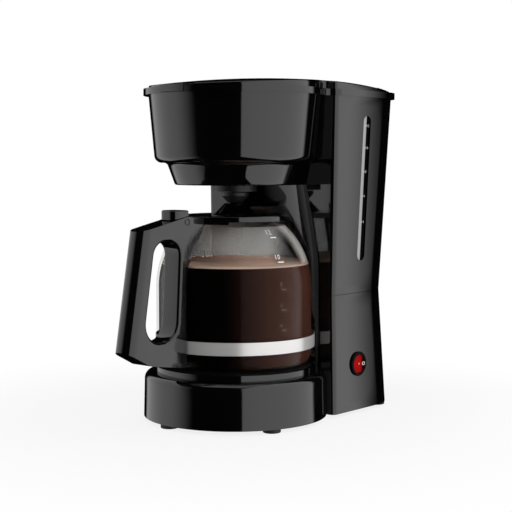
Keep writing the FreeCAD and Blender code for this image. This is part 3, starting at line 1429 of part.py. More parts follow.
def carafe_band():
    inner = S.carafe_radius + S.run
    outer = inner + S.band_thick
    ring = turned("band_ring", [(inner, D.band_low), (outer, D.band_low), (outer, D.band_high),
                                (inner, D.band_high)])
    low = lug_z() - S.lug_thick / 2
    lug = box("band_lug", (-S.lug_half, -(outer + S.lug_reach), low),
              (S.lug_half, -(inner + S.band_thick / 2), low + S.lug_thick))
    core = cylinder("band_core", outer - S.band_thick / 2, S.band_width, 0, 0, D.band_low)
    hole = cylinder("lug_hole", S.screw_radius + S.run, S.lug_thick + S.overrun * 2, 0, handle_screw_y(),
                    low - S.overrun)
    return finish(fuse("band_solid", ring, cut("lug_trimmed", lug, core, hole)), "carafe_band")


def yoke_corners():
    inner = S.neck_radius + S.yoke_gap
    top = D.mouth + S.yoke_rise
    low = top - S.yoke_height
    return inner, inner + S.yoke_wall, low, top


def carafe_handle():
    inner, outer, yoke_low, yoke_top = yoke_corners()
    near = -D.handle_in
    yoke_y = -(inner + S.yoke_wall / 2)
    body = body_of("handle_grip")
    profile = [
        (-D.handle_out, D.glass_low + S.handle_toe),
        (near - S.handle_heel_set, D.glass_low + S.handle_heel, S.handle_soft * 2),
        (near, D.glass_low + S.handle_low, S.handle_soft), (near, D.glass_low + S.handle_turn,
                                                            S.handle_sweep),
        (yoke_y, yoke_low), (yoke_y, yoke_top), (-D.pin_y, D.mouth + S.handle_peak, S.handle_soft),
        (near - S.handle_top_set, D.mouth - S.handle_top_drop)]
    pad(body, outline(body, "YZ_Plane", profile), S.handle_half * 2, True)
    top = D.mouth - S.hole_top_drop
    low = D.glass_low + S.hole_low_rise
    hole = [(near - S.hole_top_out, top, S.hole_top_round), (near - S.hole_low_out, low,
                                                             S.hole_low_round),
            (near - S.hole_low_in, low, S.hole_low_round), (near - S.hole_top_in, top, S.hole_top_round)]
    pocket(body, outline(body, "YZ_Plane", hole), S.handle_half * 2 + S.overrun, True)
    doc.recompute()
    front = -(D.handle_in + S.handle_top_set).value
    slack = S.overrun.value / 2
    long_edge = S.handle_depth.value / 2
    soften(body, S.handle_round,
           lambda edge: edge.BoundBox.YMax < front + slack and edge.Length > long_edge)
    ends = [corner[0].value for corner in hole]
    limits = (top.value + slack, low.value - slack, max(ends) + slack, min(ends) - slack)
    soften(body, S.hole_soft, lambda edge: in_finger_hole(edge, limits))
    yoke = body_of("handle_yoke")
    arc = revolve(yoke, outline(yoke, "XZ_Plane", [(inner, yoke_low), (outer, yoke_low),
                                                   (outer, yoke_top),
                                                   (inner, yoke_top)]), S.yoke_angle)
    arc.Midplane = True
    place(yoke, turn=FreeCAD.Rotation(FreeCAD.Vector(0, 0, 1), -90))
    slot = S.handle_half - S.cheek
    knuckle = S.pin_radius + S.run + S.knuckle_wall
    cuts_out = [
        box("knuckle_slot", (-slot, -(D.pin_y + knuckle + S.knuckle_wall), D.pin_z - knuckle - S.gap),
            (slot, -(inner - S.overrun), D.mouth + S.handle_peak + S.overrun)),
        cylinder("pin_hole", S.pin_radius + S.run, S.handle_half * 2 + S.overrun,
                 -S.handle_half - S.overrun / 2,
                 -D.pin_y, D.pin_z, ALONG_X),
        cylinder("pin_seat_right", S.pin_radius + S.pin_seat, S.pin_seat + S.overrun,
                 S.handle_half - S.pin_seat, -D.pin_y, D.pin_z, ALONG_X),
        cylinder("pin_seat_left", S.pin_radius + S.pin_seat, S.pin_seat + S.overrun,
                 -S.handle_half - S.overrun, -D.pin_y, D.pin_z, ALONG_X),
        box("lug_slot", (-S.lug_half - S.gap, -(S.carafe_radius + S.band_thick + S.lug_reach + S.gap * 2),
                         lug_z() - S.lug_thick / 2 - S.gap),
            (S.lug_half + S.gap, near + S.overrun, lug_z() + S.lug_thick / 2 + S.gap)),
        cylinder("handle_screw_bore", S.screw_radius + S.run, S.band_width * 2, 0, handle_screw_y(),
                 screw_seat()),
        cylinder("handle_screw_well", S.screw_head + S.gap, S.handle_toe, 0, handle_screw_y(),
                 screw_seat() - S.handle_toe)]
    return finish(cut("handle_cut", fuse("handle_solid", body, yoke), *cuts_out), "carafe_handle")


def screw_seat():
    return D.glass_low + S.handle_low + S.wall * 2


def soften(body, radius, wanted):
    # Rounds those edges of a body that the test picks.
    doc.recompute()
    last = body.Tip
    names = ["Edge%d" % i for i, edge in enumerate(last.Shape.Edges, start=1) if wanted(edge)]
    feature = body.newObject("PartDesign::Fillet", body.Name + "_soft")
    feature.Base = (last, names)
    bind(feature, "Radius", radius)
    return feature


def in_finger_hole(edge, limits):
    top, low, near, front = limits
    span = edge.BoundBox
    flat = span.XLength < 0.001
    return flat and span.ZMax < top and span.ZMin > low and span.YMax < near and span.YMin > front


def handle_screw():
    length = lug_z() + S.lug_thick * 2 - screw_seat()
    return finish(screw_body("handle_screw_turning", length), "handle_screw", 0, handle_screw_y(),
                  screw_seat())


def thumb_lever():
    # The lever's underside runs along the slope of the handle.
    lever = body_of("cap_lever")
    front = -(D.pin_y + S.lever_reach)
    back = -(D.pin_y - S.knuckle_wall)
    top = D.mouth + S.lever_rise
    under = D.mouth + S.handle_peak + S.lever_clear
    slope = (S.handle_peak + S.handle_top_drop) / (S.handle_top_set + S.pin_inset)
    profile = [(front, under - slope * S.lever_reach), (front, top), (back, top), (back, under),
               (-D.pin_y, under)]
    pad(lever, outline(lever, "YZ_Plane", profile), (S.handle_half - S.lever_inset) * 2, True)
    soften(lever, S.lever_round,
           lambda edge: is_upright(edge) and abs(edge.BoundBox.YMin - front.value) < S.gap.value)
    soften(lever, S.lever_soft, lambda edge: edge.BoundBox.ZMin > top.value - S.gap.value)
    return lever


def carafe_lid():
    skirt_in = S.neck_radius + S.gap
    rim = skirt_in + S.cap_wall
    low = D.mouth - S.cap_skirt
    under = D.mouth + S.gap
    cap = turned("cap_turning", [
        (S.dome_hole, D.dome_top), (S.dome_top_radius, D.dome_top, S.cap_thick),
        (S.dome_radius, D.cap_top, S.cap_thick * 2), (rim, D.cap_top, S.cap_thick / 2),
        (rim, low),
        (skirt_in, low),
        (skirt_in, under), (S.dome_radius - S.cap_thick, under), (S.dome_top_radius - S.cap_thick,
                                                                  D.dome_top - S.cap_thick),
        (S.dome_hole, D.dome_top - S.cap_thick)])
    half = S.handle_half - S.cheek - S.gap
    knuckle = S.pin_radius + S.run + S.knuckle_wall
    arm = box("cap_arm", (-half, -(D.pin_y + S.knuckle_wall), low),
              (half, -(skirt_in + S.cap_wall / 2), D.cap_top))
    barrel = cylinder("cap_knuckle", knuckle, half * 2, -half, -D.pin_y, D.pin_z, ALONG_X)
    lever = thumb_lever()
    web = box("cap_web", (-half, -(D.pin_y + S.knuckle_wall), D.pin_z),
              (half, -(D.pin_y - S.knuckle_wall), D.mouth + S.lever_rise))
    bore = cylinder("cap_bore", S.pin_radius + S.run, S.handle_half * 2, -S.handle_half, -D.pin_y,
                    D.pin_z, ALONG_X)
    return finish(cut("cap_bored", fuse("cap_solid", cap, arm, barrel, lever, web), bore), "carafe_lid")


def carafe_lid_pin():
    body = body_of("cap_rod")
    pad(body, disc(body, "YZ_Plane", S.pin_radius), S.handle_half * 2, True)
    return finish(body, "carafe_lid_pin", 0, -D.pin_y, D.pin_z)


def check_document():
    # Nothing is written unless every object and every finished piece is sound.
    faults = []
    for item in doc.Objects:
        if "Invalid" in item.State or "Error" in item.State:
            faults.append("%s failed" % item.Label)
    for feature in cuts:
        base = feature.Base if feature.isDerivedFrom("Part::Cut") else feature.BaseFeature
        if feature.Shape.isNull() or feature.Shape.Volume > base.Shape.Volume - 0.001:
            faults.append("%s cuts nothing" % feature.Label)
    for item in finished:
        if item.Shape.isNull() or not item.Shape.isValid():
            faults.append("%s has no sound shape" % item.Label)
        elif len(item.Shape.Solids) != 1:
            faults.append("%s is %d solids" % (item.Label, len(item.Shape.Solids)))
    if faults:
        raise RuntimeError("; ".join(faults))


def build():
    upper_housing()
    level_window()
    brew_head()
    brew_basket()
    drip_valve()
    drip_valve_spring()
    top_deck()
    lid()
    rear_deck()
    lid_hinge_pin()
    spreader()
    reservoir_tank()
    riser_pipe()
    riser_grommet()
    housing = base_housing()
    base_cover()
    feet()
    cover_screws()
    warming_plate()
    plate_seal()
    heater_element()
    heater_clamp()
    thermostat()
    thermal_fuse()
    check_valve()
    tank_outlet_seal()
    hoses()
    switch(housing)
    cord_gland(housing)
    carafe_glass()
    carafe_band()
    carafe_handle()
    handle_screw()
    carafe_lid()
    carafe_lid_pin()
    doc.recompute()
    check_document()


build()
os.makedirs("parts", exist_ok=True)
for item in finished:
    item.Shape.exportStep(os.path.join("parts", item.Label + ".step"))
print(len(finished), "pieces written")
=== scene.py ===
import bmesh
import bpy
import json
import math
import random
from mathutils import Matrix, Vector
from mathutils.bvhtree import BVHTree


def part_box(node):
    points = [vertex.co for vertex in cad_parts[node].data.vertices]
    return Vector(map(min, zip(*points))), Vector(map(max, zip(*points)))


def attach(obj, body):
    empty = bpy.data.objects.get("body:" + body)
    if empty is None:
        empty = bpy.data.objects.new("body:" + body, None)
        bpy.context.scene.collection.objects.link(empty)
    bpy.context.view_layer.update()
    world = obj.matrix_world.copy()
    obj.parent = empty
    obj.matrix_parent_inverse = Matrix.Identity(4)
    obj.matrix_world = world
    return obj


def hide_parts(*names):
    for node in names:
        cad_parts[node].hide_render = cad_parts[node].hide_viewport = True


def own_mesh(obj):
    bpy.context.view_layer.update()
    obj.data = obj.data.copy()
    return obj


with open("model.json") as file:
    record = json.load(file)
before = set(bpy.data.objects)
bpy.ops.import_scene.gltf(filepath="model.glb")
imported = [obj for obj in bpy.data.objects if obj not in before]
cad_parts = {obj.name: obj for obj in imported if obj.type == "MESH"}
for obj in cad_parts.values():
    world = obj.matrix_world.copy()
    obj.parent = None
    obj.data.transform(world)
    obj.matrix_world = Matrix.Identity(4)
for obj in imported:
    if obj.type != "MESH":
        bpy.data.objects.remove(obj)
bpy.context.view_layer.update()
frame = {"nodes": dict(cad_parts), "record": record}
nodes = frame["nodes"]
mm = 0.001
print("frame loaded:", len(nodes), "nodes")

glassLow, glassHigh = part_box("carafe_glass")
axisY = (glassLow.y + glassHigh.y) / 2  # the brew axis stands at x = 0
photoSide = (0.76, 0.65)  # the way to the right in the photo, as x and y
black = (0, 0, 0, 1)


# shader maths: a wrapped socket, so that masks read as sums
class Sock:
    def __init__(self, tree, socket):
        self.tree = tree
        self.socket = socket

    def mathNode(self, operation, left, right):
        return addNode(self.tree, "ShaderNodeMath", {"operation": operation}, {0: left, 1: right})

    def __add__(self, other):
        return self.mathNode("ADD", self, other)

    def __radd__(self, other):
        return self.mathNode("ADD", other, self)

    def __sub__(self, other):
        return self.mathNode("SUBTRACT", self, other)

    def __rsub__(self, other):
        return self.mathNode("SUBTRACT", other, self)

    def __mul__(self, other):
        return self.mathNode("MULTIPLY", self, other)

    def __rmul__(self, other):
        return self.mathNode("MULTIPLY", other, self)

    def __truediv__(self, other):
        return self.mathNode("DIVIDE", self, other)

    def __pow__(self, other):
        return self.mathNode("POWER", self, other)


def addNode(tree, kind, settings, values, out=0):
    node = tree.nodes.new(kind)
    for name, value in settings.items():
        setattr(node, name, value)
    for key, value in values.items():
        if isinstance(value, Sock):
            tree.links.new(value.socket, node.inputs[key])
        else:
            node.inputs[key].default_value = value
    return Sock(tree, node.outputs[out]) if len(node.outputs) else None


def grey(value):
    return (value, value, value, 1.0)


def newTree(name):
    material = bpy.data.materials.new(name)
    material.use_nodes = True
    tree = material.node_tree
    tree.nodes.clear()
    return material, tree


def output(tree, shader):
    addNode(tree, "ShaderNodeOutputMaterial", {}, {"Surface": shader})


def principled(tree, values):
    return addNode(tree, "ShaderNodeBsdfPrincipled", {}, values)


def position(tree):
    return addNode(tree, "ShaderNodeTexCoord", {}, {}, "Object")


def axes(tree, names):
    return [addNode(tree, "ShaderNodeSeparateXYZ", {}, {"Vector": position(tree)}, name) for name in names]


def acrossPhoto(x, y):
    return x * photoSide[0] + (y - axisY) * photoSide[1]


def behindAxis(x, y):
    return (y - axisY) * photoSide[0] - x * photoSide[1]


def noise(tree, scale, detail=3.0, stretch=(1, 1, 1)):
    moved = addNode(tree, "ShaderNodeMapping", {}, {"Vector": position(tree), "Scale": stretch})
    return addNode(tree, "ShaderNodeTexNoise", {}, {"Vector": moved, "Scale": scale, "Detail": detail})


def around(cloud, spread):
    # noise as a swing about zero
    return (cloud - 0.5) * spread


def grown(pair, mask):
    # a first value, and what a mask or noise adds to it
    return pair[0] + pair[1] * mask


def smoothStep(tree, value, low, high):
    return addNode(tree, "ShaderNodeMapRange", {"interpolation_type": "SMOOTHSTEP"},
                   {"Value": value, "From Min": low, "From Max": high})


def mixColour(tree, factor, first, second):
    return addNode(tree, "ShaderNodeMix", {"data_type": "RGBA"}, {0: factor, 6: first, 7: second}, 2)


def bump(tree, height, strength, distance):
    return addNode(tree, "ShaderNodeBump", {}, {"Height": height, "Strength": strength, "Distance": distance})


def slantOf(tree, blend):
    return addNode(tree, "ShaderNodeLayerWeight", {}, {"Blend": blend}, "Facing")


mouldedGrain = {"smearDetail": 4.0, "smearStretch": (1, 1, 0.35), "peelDetail": 2.0, "peelDepth": 0.2 * mm,
                "worn": (0.35, 0.7)}


def moulded(name, look):
    # moulded plastic: fine peel in the gloss, faint smears in the roughness
    material, tree = newTree(name)
    grain = mouldedGrain
    smear = noise(tree, look["smearScale"], grain["smearDetail"], grain["smearStretch"])
    peel = noise(tree, look["peelScale"], grain["peelDetail"])
    tone = mixColour(tree, smoothStep(tree, smear, *grain["worn"]), look["colour"], look["colourWorn"])
    rough = look["rough"] + around(smear, look["roughSpread"])
    output(tree, principled(tree, {
        "Base Color": tone, "Roughness": rough, "IOR": look["ior"],
        "Normal": bump(tree, peel, look["peel"], grain["peelDepth"])}))
    return material


glossBlackLook = {"colour": (0.0011, 0.0011, 0.0012, 1), "colourWorn": (0.002, 0.002, 0.0022, 1),
                  "rough": 0.055, "roughSpread": 0.04, "smearScale": 18.0, "peelScale": 700.0, "peel": 0.02,
                  "ior": 1.65}
satinBlackLook = {"colour": (0.012, 0.012, 0.012, 1), "colourWorn": (0.02, 0.02, 0.02, 1),
                  "rough": 0.42, "roughSpread": 0.12, "smearScale": 30.0, "peelScale": 1500.0, "peel": 0.2,
                  "ior": 1.47}
milkyTankLook = {"colour": (0.62, 0.63, 0.62, 1), "colourWorn": (0.52, 0.53, 0.52, 1),
                 "rough": 0.35, "roughSpread": 0.1, "smearScale": 22.0, "peelScale": 900.0, "peel": 0.1,
                 "ior": 1.48}
footRubberLook = {"colour": (0.018, 0.018, 0.018, 1), "colourWorn": (0.035, 0.034, 0.033, 1),
                  "rough": 0.68, "roughSpread": 0.15, "smearScale": 60.0, "peelScale": 2200.0, "peel": 0.35,
                  "ior": 1.5}
siliconeLook = {"colour": (0.7, 0.69, 0.65, 1), "colourWorn": (0.6, 0.58, 0.53, 1),
                "rough": 0.45, "roughSpread": 0.12, "smearScale": 40.0, "peelScale": 1800.0, "peel": 0.15,
                "ior": 1.42}
plateLook = {"colour": (0.01, 0.01, 0.0105, 1), "colourWorn": (0.022, 0.021, 0.021, 1),
             "rough": 0.3, "roughSpread": 0.16, "smearScale": 26.0, "peelScale": 2600.0, "peel": 0.3,
             "ior": 1.5}
# the faint red in the bezel's colour is a painted glow from the lamp
bezelLook = {"colour": (0.003, 0.001, 0.001, 1), "colourWorn": (0.006, 0.003, 0.003, 1),
             "rough": 0.2, "roughSpread": 0.08, "smearScale": 60.0, "peelScale": 1500.0, "peel": 0.05,
             "ior": 1.12}

grooveDepth = 0.1 * mm


def metal(name, look):
    # drawn or brushed metal: fine lines along one direction
    material, tree = newTree(name)
    lines = noise(tree, look["lineScale"], stretch=look["stretch"])
    cloud = noise(tree, look["cloudScale"])
    tone = mixColour(tree, cloud, look["colour"], look["colourDull"])
    rough = look["rough"] + around(lines, look["roughSpread"]) + around(cloud, look["roughSpread"])
    output(tree, principled(tree, {
        "Base Color": tone, "Metallic": look["metallic"], "Roughness": rough,
        "Normal": bump(tree, lines, look["groove"], grooveDepth)}))
    return material


bandSteelLook = {"colour": (0.8, 0.79, 0.78, 1), "colourDull": (0.7, 0.69, 0.68, 1), "metallic": 0.5,
                 "rough": 0.24, "roughSpread": 0.08, "lineScale": 900.0, "stretch": (0.05, 0.05, 1),
                 "cloudScale": 30.0, "groove": 0.08}
plainSteelLook = {"colour": (0.58, 0.58, 0.59, 1), "colourDull": (0.48, 0.48, 0.48, 1), "metallic": 1.0,
                  "rough": 0.3, "roughSpread": 0.1, "lineScale": 1200.0, "stretch": (1, 1, 0.2),
                  "cloudScale": 90.0, "groove": 0.1}
aluminiumLook = {"colour": (0.7, 0.7, 0.71, 1), "colourDull": (0.55, 0.55, 0.56, 1), "metallic": 1.0,
                 "rough": 0.4, "roughSpread": 0.14, "lineScale": 800.0, "stretch": (1, 0.2, 1),
                 "cloudScale": 50.0, "groove": 0.15}
fuseBrassLook = {"colour": (0.66, 0.5, 0.22, 1), "colourDull": (0.5, 0.37, 0.16, 1), "metallic": 1.0,
                 "rough": 0.35, "roughSpread": 0.1, "lineScale": 900.0, "stretch": (1, 0.2, 1),
                 "cloudScale": 70.0, "groove": 0.1}


def clearGlass(name, look):
    # clear wall: looked through straight on, mirror-like at a slant
    material, tree = newTree(name)
    streak = noise(tree, look["streakScale"], stretch=look["streakStretch"])
    shine = principled(tree, {
        "Base Color": look["colour"], "Roughness": grown(look["rough"], streak), "Metallic": 1.0,
        "Normal": bump(tree, streak, look["wave"], look["waveDepth"])})
    through = addNode(tree, "ShaderNodeBsdfTransparent", {}, {"Color": look["tint"]})
    factor = look["least"] + slantOf(tree, look["blend"]) ** look["power"] * look["most"]
    output(tree, addNode(tree, "ShaderNodeMixShader", {}, {0: factor, 1: through, 2: shine}))
    return material


carafeGlassLook = {"colour": (0.9, 0.91, 0.91, 1), "tint": (0.97, 0.975, 0.97, 1), "rough": (0.02, 0.03),
                   "streakScale": 14.0, "streakStretch": (1, 1, 0.3), "wave": 0.06, "waveDepth": 0.4 * mm,
                   "blend": 0.5, "least": 0.003, "power": 3.0, "most": 0.2}


def windowStrip(name, look):
    # clear level strip: one flank carries a painted reflection, the other painted shade where it looks into
    # the dark tank
    material, tree = newTree(name)
    y, z = axes(tree, "YZ")
    low, high = look["height"]
    slope = look["lean"] / (high - low)
    across = y - look["middle"] - (z - (low + high) / 2) * slope
    flank = smoothStep(tree, across, look["soft"], -look["soft"])
    cloud = noise(tree, look["cloudScale"])
    tone = mixColour(tree, flank, look["paintedShade"], mixColour(tree, cloud, look["light"], look["paintedReflectionDim"]))
    output(tree, principled(tree, {
        "Base Color": tone, "Roughness": grown(look["rough"], cloud), "IOR": look["ior"],
        "Normal": bump(tree, cloud, look["wave"], look["waveDepth"])}))
    return material


windowLow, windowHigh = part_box("level_window")
# the light colour is a painted reflection on one flank, the dark colour painted shade on the other
windowLook = {"height": (windowLow.z, windowHigh.z), "middle": (windowLow.y + windowHigh.y) / 2,
              "lean": 7.0 * mm, "soft": 0.25 * mm, "light": (0.42, 0.425, 0.425, 1),
              "paintedReflectionDim": (0.34, 0.345, 0.345, 1), "paintedShade": (0.001, 0.001, 0.001, 1), "cloudScale": 120.0,
              "rough": (0.06, 0.06), "ior": 1.06, "wave": 0.05, "waveDepth": 0.2 * mm}


def litRocker(name, look):
    # red lamp cap: glows over its front part; the raised rear gets no glow and a dark colour as painted shade
    material, tree = newTree(name)
    y, z = axes(tree, "YZ")
    low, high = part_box("switch_rocker")
    paintedShadeAt = (low.y + high.y) / 2 + look["paintedShadeFrom"]
    # the front part glows and keeps its red; behind it the colour turns to painted shade
    glow = smoothStep(tree, y, paintedShadeAt, paintedShadeAt - look["soft"])
    up = (z - (low.z + high.z) / 2) / ((high.z - low.z) / 2)
    spot = 1 - smoothStep(tree, up * up, 0.0, look["spotReach"])
    grain = noise(tree, look["grainScale"], look["grainDetail"])
    tone = mixColour(tree, glow, look["paintedShade"], look["red"])
    lamp = glow * grown(look["spotShare"], spot) * grown(look["grainShare"], grain)
    output(tree, principled(tree, {
        "Base Color": tone, "Roughness": grown(look["rough"], grain), "IOR": look["ior"],
        "Emission Color": mixColour(tree, lamp, black, look["light"]), "Emission Strength": 1.0,
        "Normal": bump(tree, grain, look["wave"], look["waveDepth"])}))
    return material


# the dark colour on the rear of the cap is painted shade
rockerLook = {"paintedShadeFrom": 5.0 * mm, "soft": 3.6 * mm, "paintedShade": (0.003, 0.001, 0.001, 1),
              "red": (0.16, 0.002, 0.002, 1), "light": (0.2, 0.002, 0.002, 1), "spotReach": 1.3,
              "spotShare": (0.35, 0.65), "grainScale": 260.0, "grainDetail": 2.0, "grainShare": (0.8, 0.4),
              "rough": (0.12, 0.06), "ior": 1.06, "wave": 0.04, "waveDepth": 0.2 * mm}

finishes = {
    "black_gloss": moulded("glossBlack", glossBlackLook),
    "black_matte": moulded("satinBlack", satinBlackLook),
    "tank_plastic": moulded("milkyTank", milkyTankLook),
    "foot_rubber": moulded("footRubber", footRubberLook),
    "silicone": moulded("silicone", siliconeLook),
    "plate_coating": moulded("plateCoating", plateLook),
    "band_steel": metal("bandSteel", bandSteelLook),
    "steel": metal("plainSteel", plainSteelLook),
    "aluminium": metal("aluminium", aluminiumLook),
    "fuse_metal": metal("fuseBrass", fuseBrassLook),
    "carafe_glass": clearGlass("carafeGlass", carafeGlassLook),
    "window_clear": windowStrip("windowStrip", windowLook),
    "rocker_red": litRocker("litRocker", rockerLook)}
print("finishes made:", len(finishes))

shading = {"weld": 2e-6, "angle": math.radians(28)}


def smoothGroup():
    # joins the loose triangles of a solid and shades them smooth up to an angle
    group = bpy.data.node_groups.new("softShade", "GeometryNodeTree")
    for way in ("INPUT", "OUTPUT"):
        group.interface.new_socket("Geometry", in_out=way, socket_type="NodeSocketGeometry")
    start = Sock(group, group.nodes.new("NodeGroupInput").outputs[0])
    whole = addNode(group, "GeometryNodeMergeByDistance", {},
                    {"Geometry": start, "Distance": shading["weld"]})
    faces = addNode(group, "GeometryNodeSetShadeSmooth", {"domain": "FACE"},
                    {"Geometry": whole, "Shade Smooth": True})
    bend = addNode(group, "GeometryNodeInputMeshEdgeAngle", {}, {})
    gentle = addNode(group, "FunctionNodeCompare", {"operation": "LESS_THAN"},
                     {0: bend, 1: shading["angle"]})
    edges = addNode(group, "GeometryNodeSetShadeSmooth", {"domain": "EDGE"},
                    {"Geometry": faces, "Shade Smooth": gentle})
    group.links.new(edges.socket, group.nodes.new("NodeGroupOutput").inputs[0])
    return group


softShade = smoothGroup()
slotOf = {row["node"]: row["material_slot"] for row in frame["record"]["subparts"]}
for name, solid in nodes.items():
    solid.material_slots[0].material = finishes[slotOf[name]]
    solid.modifiers.new("softShade", "NODES").node_group = softShade
nodes["switch_bezel"].material_slots[0].material = moulded("bezelBlack", bezelLook)
print("solids finished:", len(nodes))

pieceWeld = 1e-6


def newObject(name, bm, material):
    mesh = bpy.data.meshes.new(name)
    bm.to_mesh(mesh)
    bm.free()
    mesh.materials.append(material)
    piece = bpy.data.objects.new(name, mesh)
    bpy.context.scene.collection.objects.link(piece)
    return piece


def addPiece(name, bm, material, body, smooth=True):
    bmesh.ops.remove_doubles(bm, verts=bm.verts, dist=pieceWeld)
    bmesh.ops.recalc_face_normals(bm, faces=bm.faces)
    piece = newObject(name, bm, material)
    for face in piece.data.polygons:
        face.use_smooth = smooth
    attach(piece, body)
    return piece


def stagePiece(name, bm, material):
    piece = newObject(name, bm, material)
    return piece


def spinProfile(points, steps=96):
    # turns radius-and-height points about the brew axis
    bm = bmesh.new()
    line = [bm.verts.new((r, axisY, z)) for r, z in points]
    edges = [bm.edges.new(pair) for pair in zip(line, line[1:])]
    bmesh.ops.spin(bm, geom=line + edges, cent=(0, axisY, 0), axis=(0, 0, 1), angle=math.tau, steps=steps,
                   use_merge=True)
    return bm


glassProfile = {"wide": 72.5 * mm, "wall": 2.2 * mm, "turnFrom": 122.2 * mm, "sweep": 78.0 * mm,
                "heel": 71.2 * mm, "heelTo": glassLow.z + 13.0 * mm}


def glassRadius(z, wall=0.0):
    # radius of the glass at a height, outside or less a wall
    g = glassProfile
    if z < g["heelTo"]:
        share = (z - glassLow.z) / (g["heelTo"] - glassLow.z)
        return g["heel"] + (g["wide"] - g["heel"]) * share - wall
    if z < g["turnFrom"]:
        return g["wide"] - wall
    lift = (z - g["turnFrom"]) / (g["sweep"] - wall)
    return g["wide"] - g["sweep"] + (g["sweep"] - wall) * math.sqrt(max(0.0, 1 - lift * lift))


# lip: how the surface climbs to the glass, inwards and upwards as shares of the meniscus
coffee = {"level": 143.4 * mm, "floor": glassLow.z + 2.4 * mm, "gap": 0.12 * mm, "round": 2.4 * mm,
          "meniscus": 1.2 * mm, "lip": ((0.0, 1.0), (0.6, 0.2), (2.5, 0.0)), "steps": 24,
          "deep": (0.0016, 0.0012, 0.0011, 1), "red": (0.062, 0.023, 0.016, 1), "top": (0.6, 0.39, 0.3, 1),
          "topPale": (0.74, 0.54, 0.45, 1), "showThrough": (-12.0 * mm, 66.0 * mm), "cloudScale": 22.0,
          "cloudStretch": (1, 1, 0.25), "cloudShare": (0.75, 0.5), "topScale": 60.0, "topDetail": 4.0,
          "skin": (0.7 * mm, 0.3 * mm), "rough": (0.12, 0.2), "ior": 1.01, "wave": 0.03,
          "waveDepth": 0.4 * mm}


def coffeeMaterial(name):
    # brewed coffee: nearly black in its depth; red-brown towards the right of the view, painted light shining
    # through; paler on its surface, partly its own colour and partly painted reflection
    material, tree = newTree(name)
    x, y, z = axes(tree, "XYZ")
    # painted light: the body turns red-brown towards the right, as if lit through
    showThrough = smoothStep(tree, acrossPhoto(x, y), *coffee["showThrough"])
    cloud = noise(tree, coffee["cloudScale"], stretch=coffee["cloudStretch"])
    body = mixColour(tree, showThrough * grown(coffee["cloudShare"], cloud), coffee["deep"], coffee["red"])
    pale = noise(tree, coffee["topScale"], coffee["topDetail"])
    # the paler surface colour is partly the coffee's own and partly painted reflection
    surface = mixColour(tree, pale, coffee["top"], coffee["topPale"])
    top = smoothStep(tree, z, coffee["level"] - coffee["skin"][0], coffee["level"] - coffee["skin"][1])
    output(tree, principled(tree, {
        "Base Color": mixColour(tree, top, body, surface), "Roughness": grown(coffee["rough"], top),
        "IOR": coffee["ior"], "Normal": bump(tree, cloud, coffee["wave"], coffee["waveDepth"])}))
    return material


def makeCoffee():
    wall = glassProfile["wall"] + coffee["gap"]
    low, level, rise = coffee["floor"], coffee["level"], coffee["meniscus"]
    heel = low + coffee["round"]
    points = [(0, low), (glassRadius(low, wall) - coffee["round"], low), (glassRadius(low, wall), heel)]
    for i in range(1, coffee["steps"]):
        z = heel + (level + rise - low - coffee["round"]) * i / coffee["steps"]
        points.append((glassRadius(z, wall), z))
    rim = glassRadius(level + rise, wall)
    points += [(rim - rise * inward, level + rise * upward) for inward, upward in coffee["lip"]]
    points.append((0, level))
    addPiece("coffee", spinProfile(points), coffeeMaterial("brewedCoffee"), "carafe")


froth = {"count": 520, "arc": (196, 282), "least": 0.3 * mm, "most": 1.15 * mm, "rise": 9.0 * mm, "seed": 7,
         "sizePower": 2, "risePower": 3, "sit": 0.6, "gap": 0.15 * mm, "colour": (0.5, 0.16, 0.06, 1),
         "pale": (0.95, 0.93, 0.9, 1), "clear": (1.4 * mm, 2.6 * mm), "cloudScale": 300.0, "cloudDetail": 2.0,
         "rough": (0.1, 0.1), "ior": 1.34, "wave": 0.05, "waveDepth": 0.2 * mm}


def frothMaterial(name):
    # brown bubbles along the coffee's edge, clear drops above them
    material, tree = newTree(name)
    cloud = noise(tree, froth["cloudScale"], froth["cloudDetail"])
    (z,) = axes(tree, "Z")
    clear = smoothStep(tree, z, *[coffee["level"] + height for height in froth["clear"]])
    output(tree, principled(tree, {
        "Base Color": mixColour(tree, clear, froth["colour"], froth["pale"]),
        "Roughness": grown(froth["rough"], cloud), "IOR": froth["ior"],
        "Normal": bump(tree, cloud, froth["wave"], froth["waveDepth"])}))
    return material


def makeFroth():
    rolls = random.Random(froth["seed"])
    first, last = froth["arc"]
    bm = bmesh.new()
    for i in range(froth["count"]):
        size = froth["least"] + (froth["most"] - froth["least"]) * rolls.random() ** froth["sizePower"]
        turn = math.radians(first + (last - first) * (i + rolls.random()) / froth["count"])
        z = coffee["level"] + size * froth["sit"] + froth["rise"] * rolls.random() ** froth["risePower"]
        reach = glassRadius(z, glassProfile["wall"]) - size - froth["gap"]
        place = Matrix.Translation((reach * math.sin(turn), axisY - reach * math.cos(turn), z))
        bmesh.ops.create_icosphere(bm, subdivisions=1, radius=size, matrix=place)
    addPiece("froth", bm, frothMaterial("coffeeFroth"), "carafe")


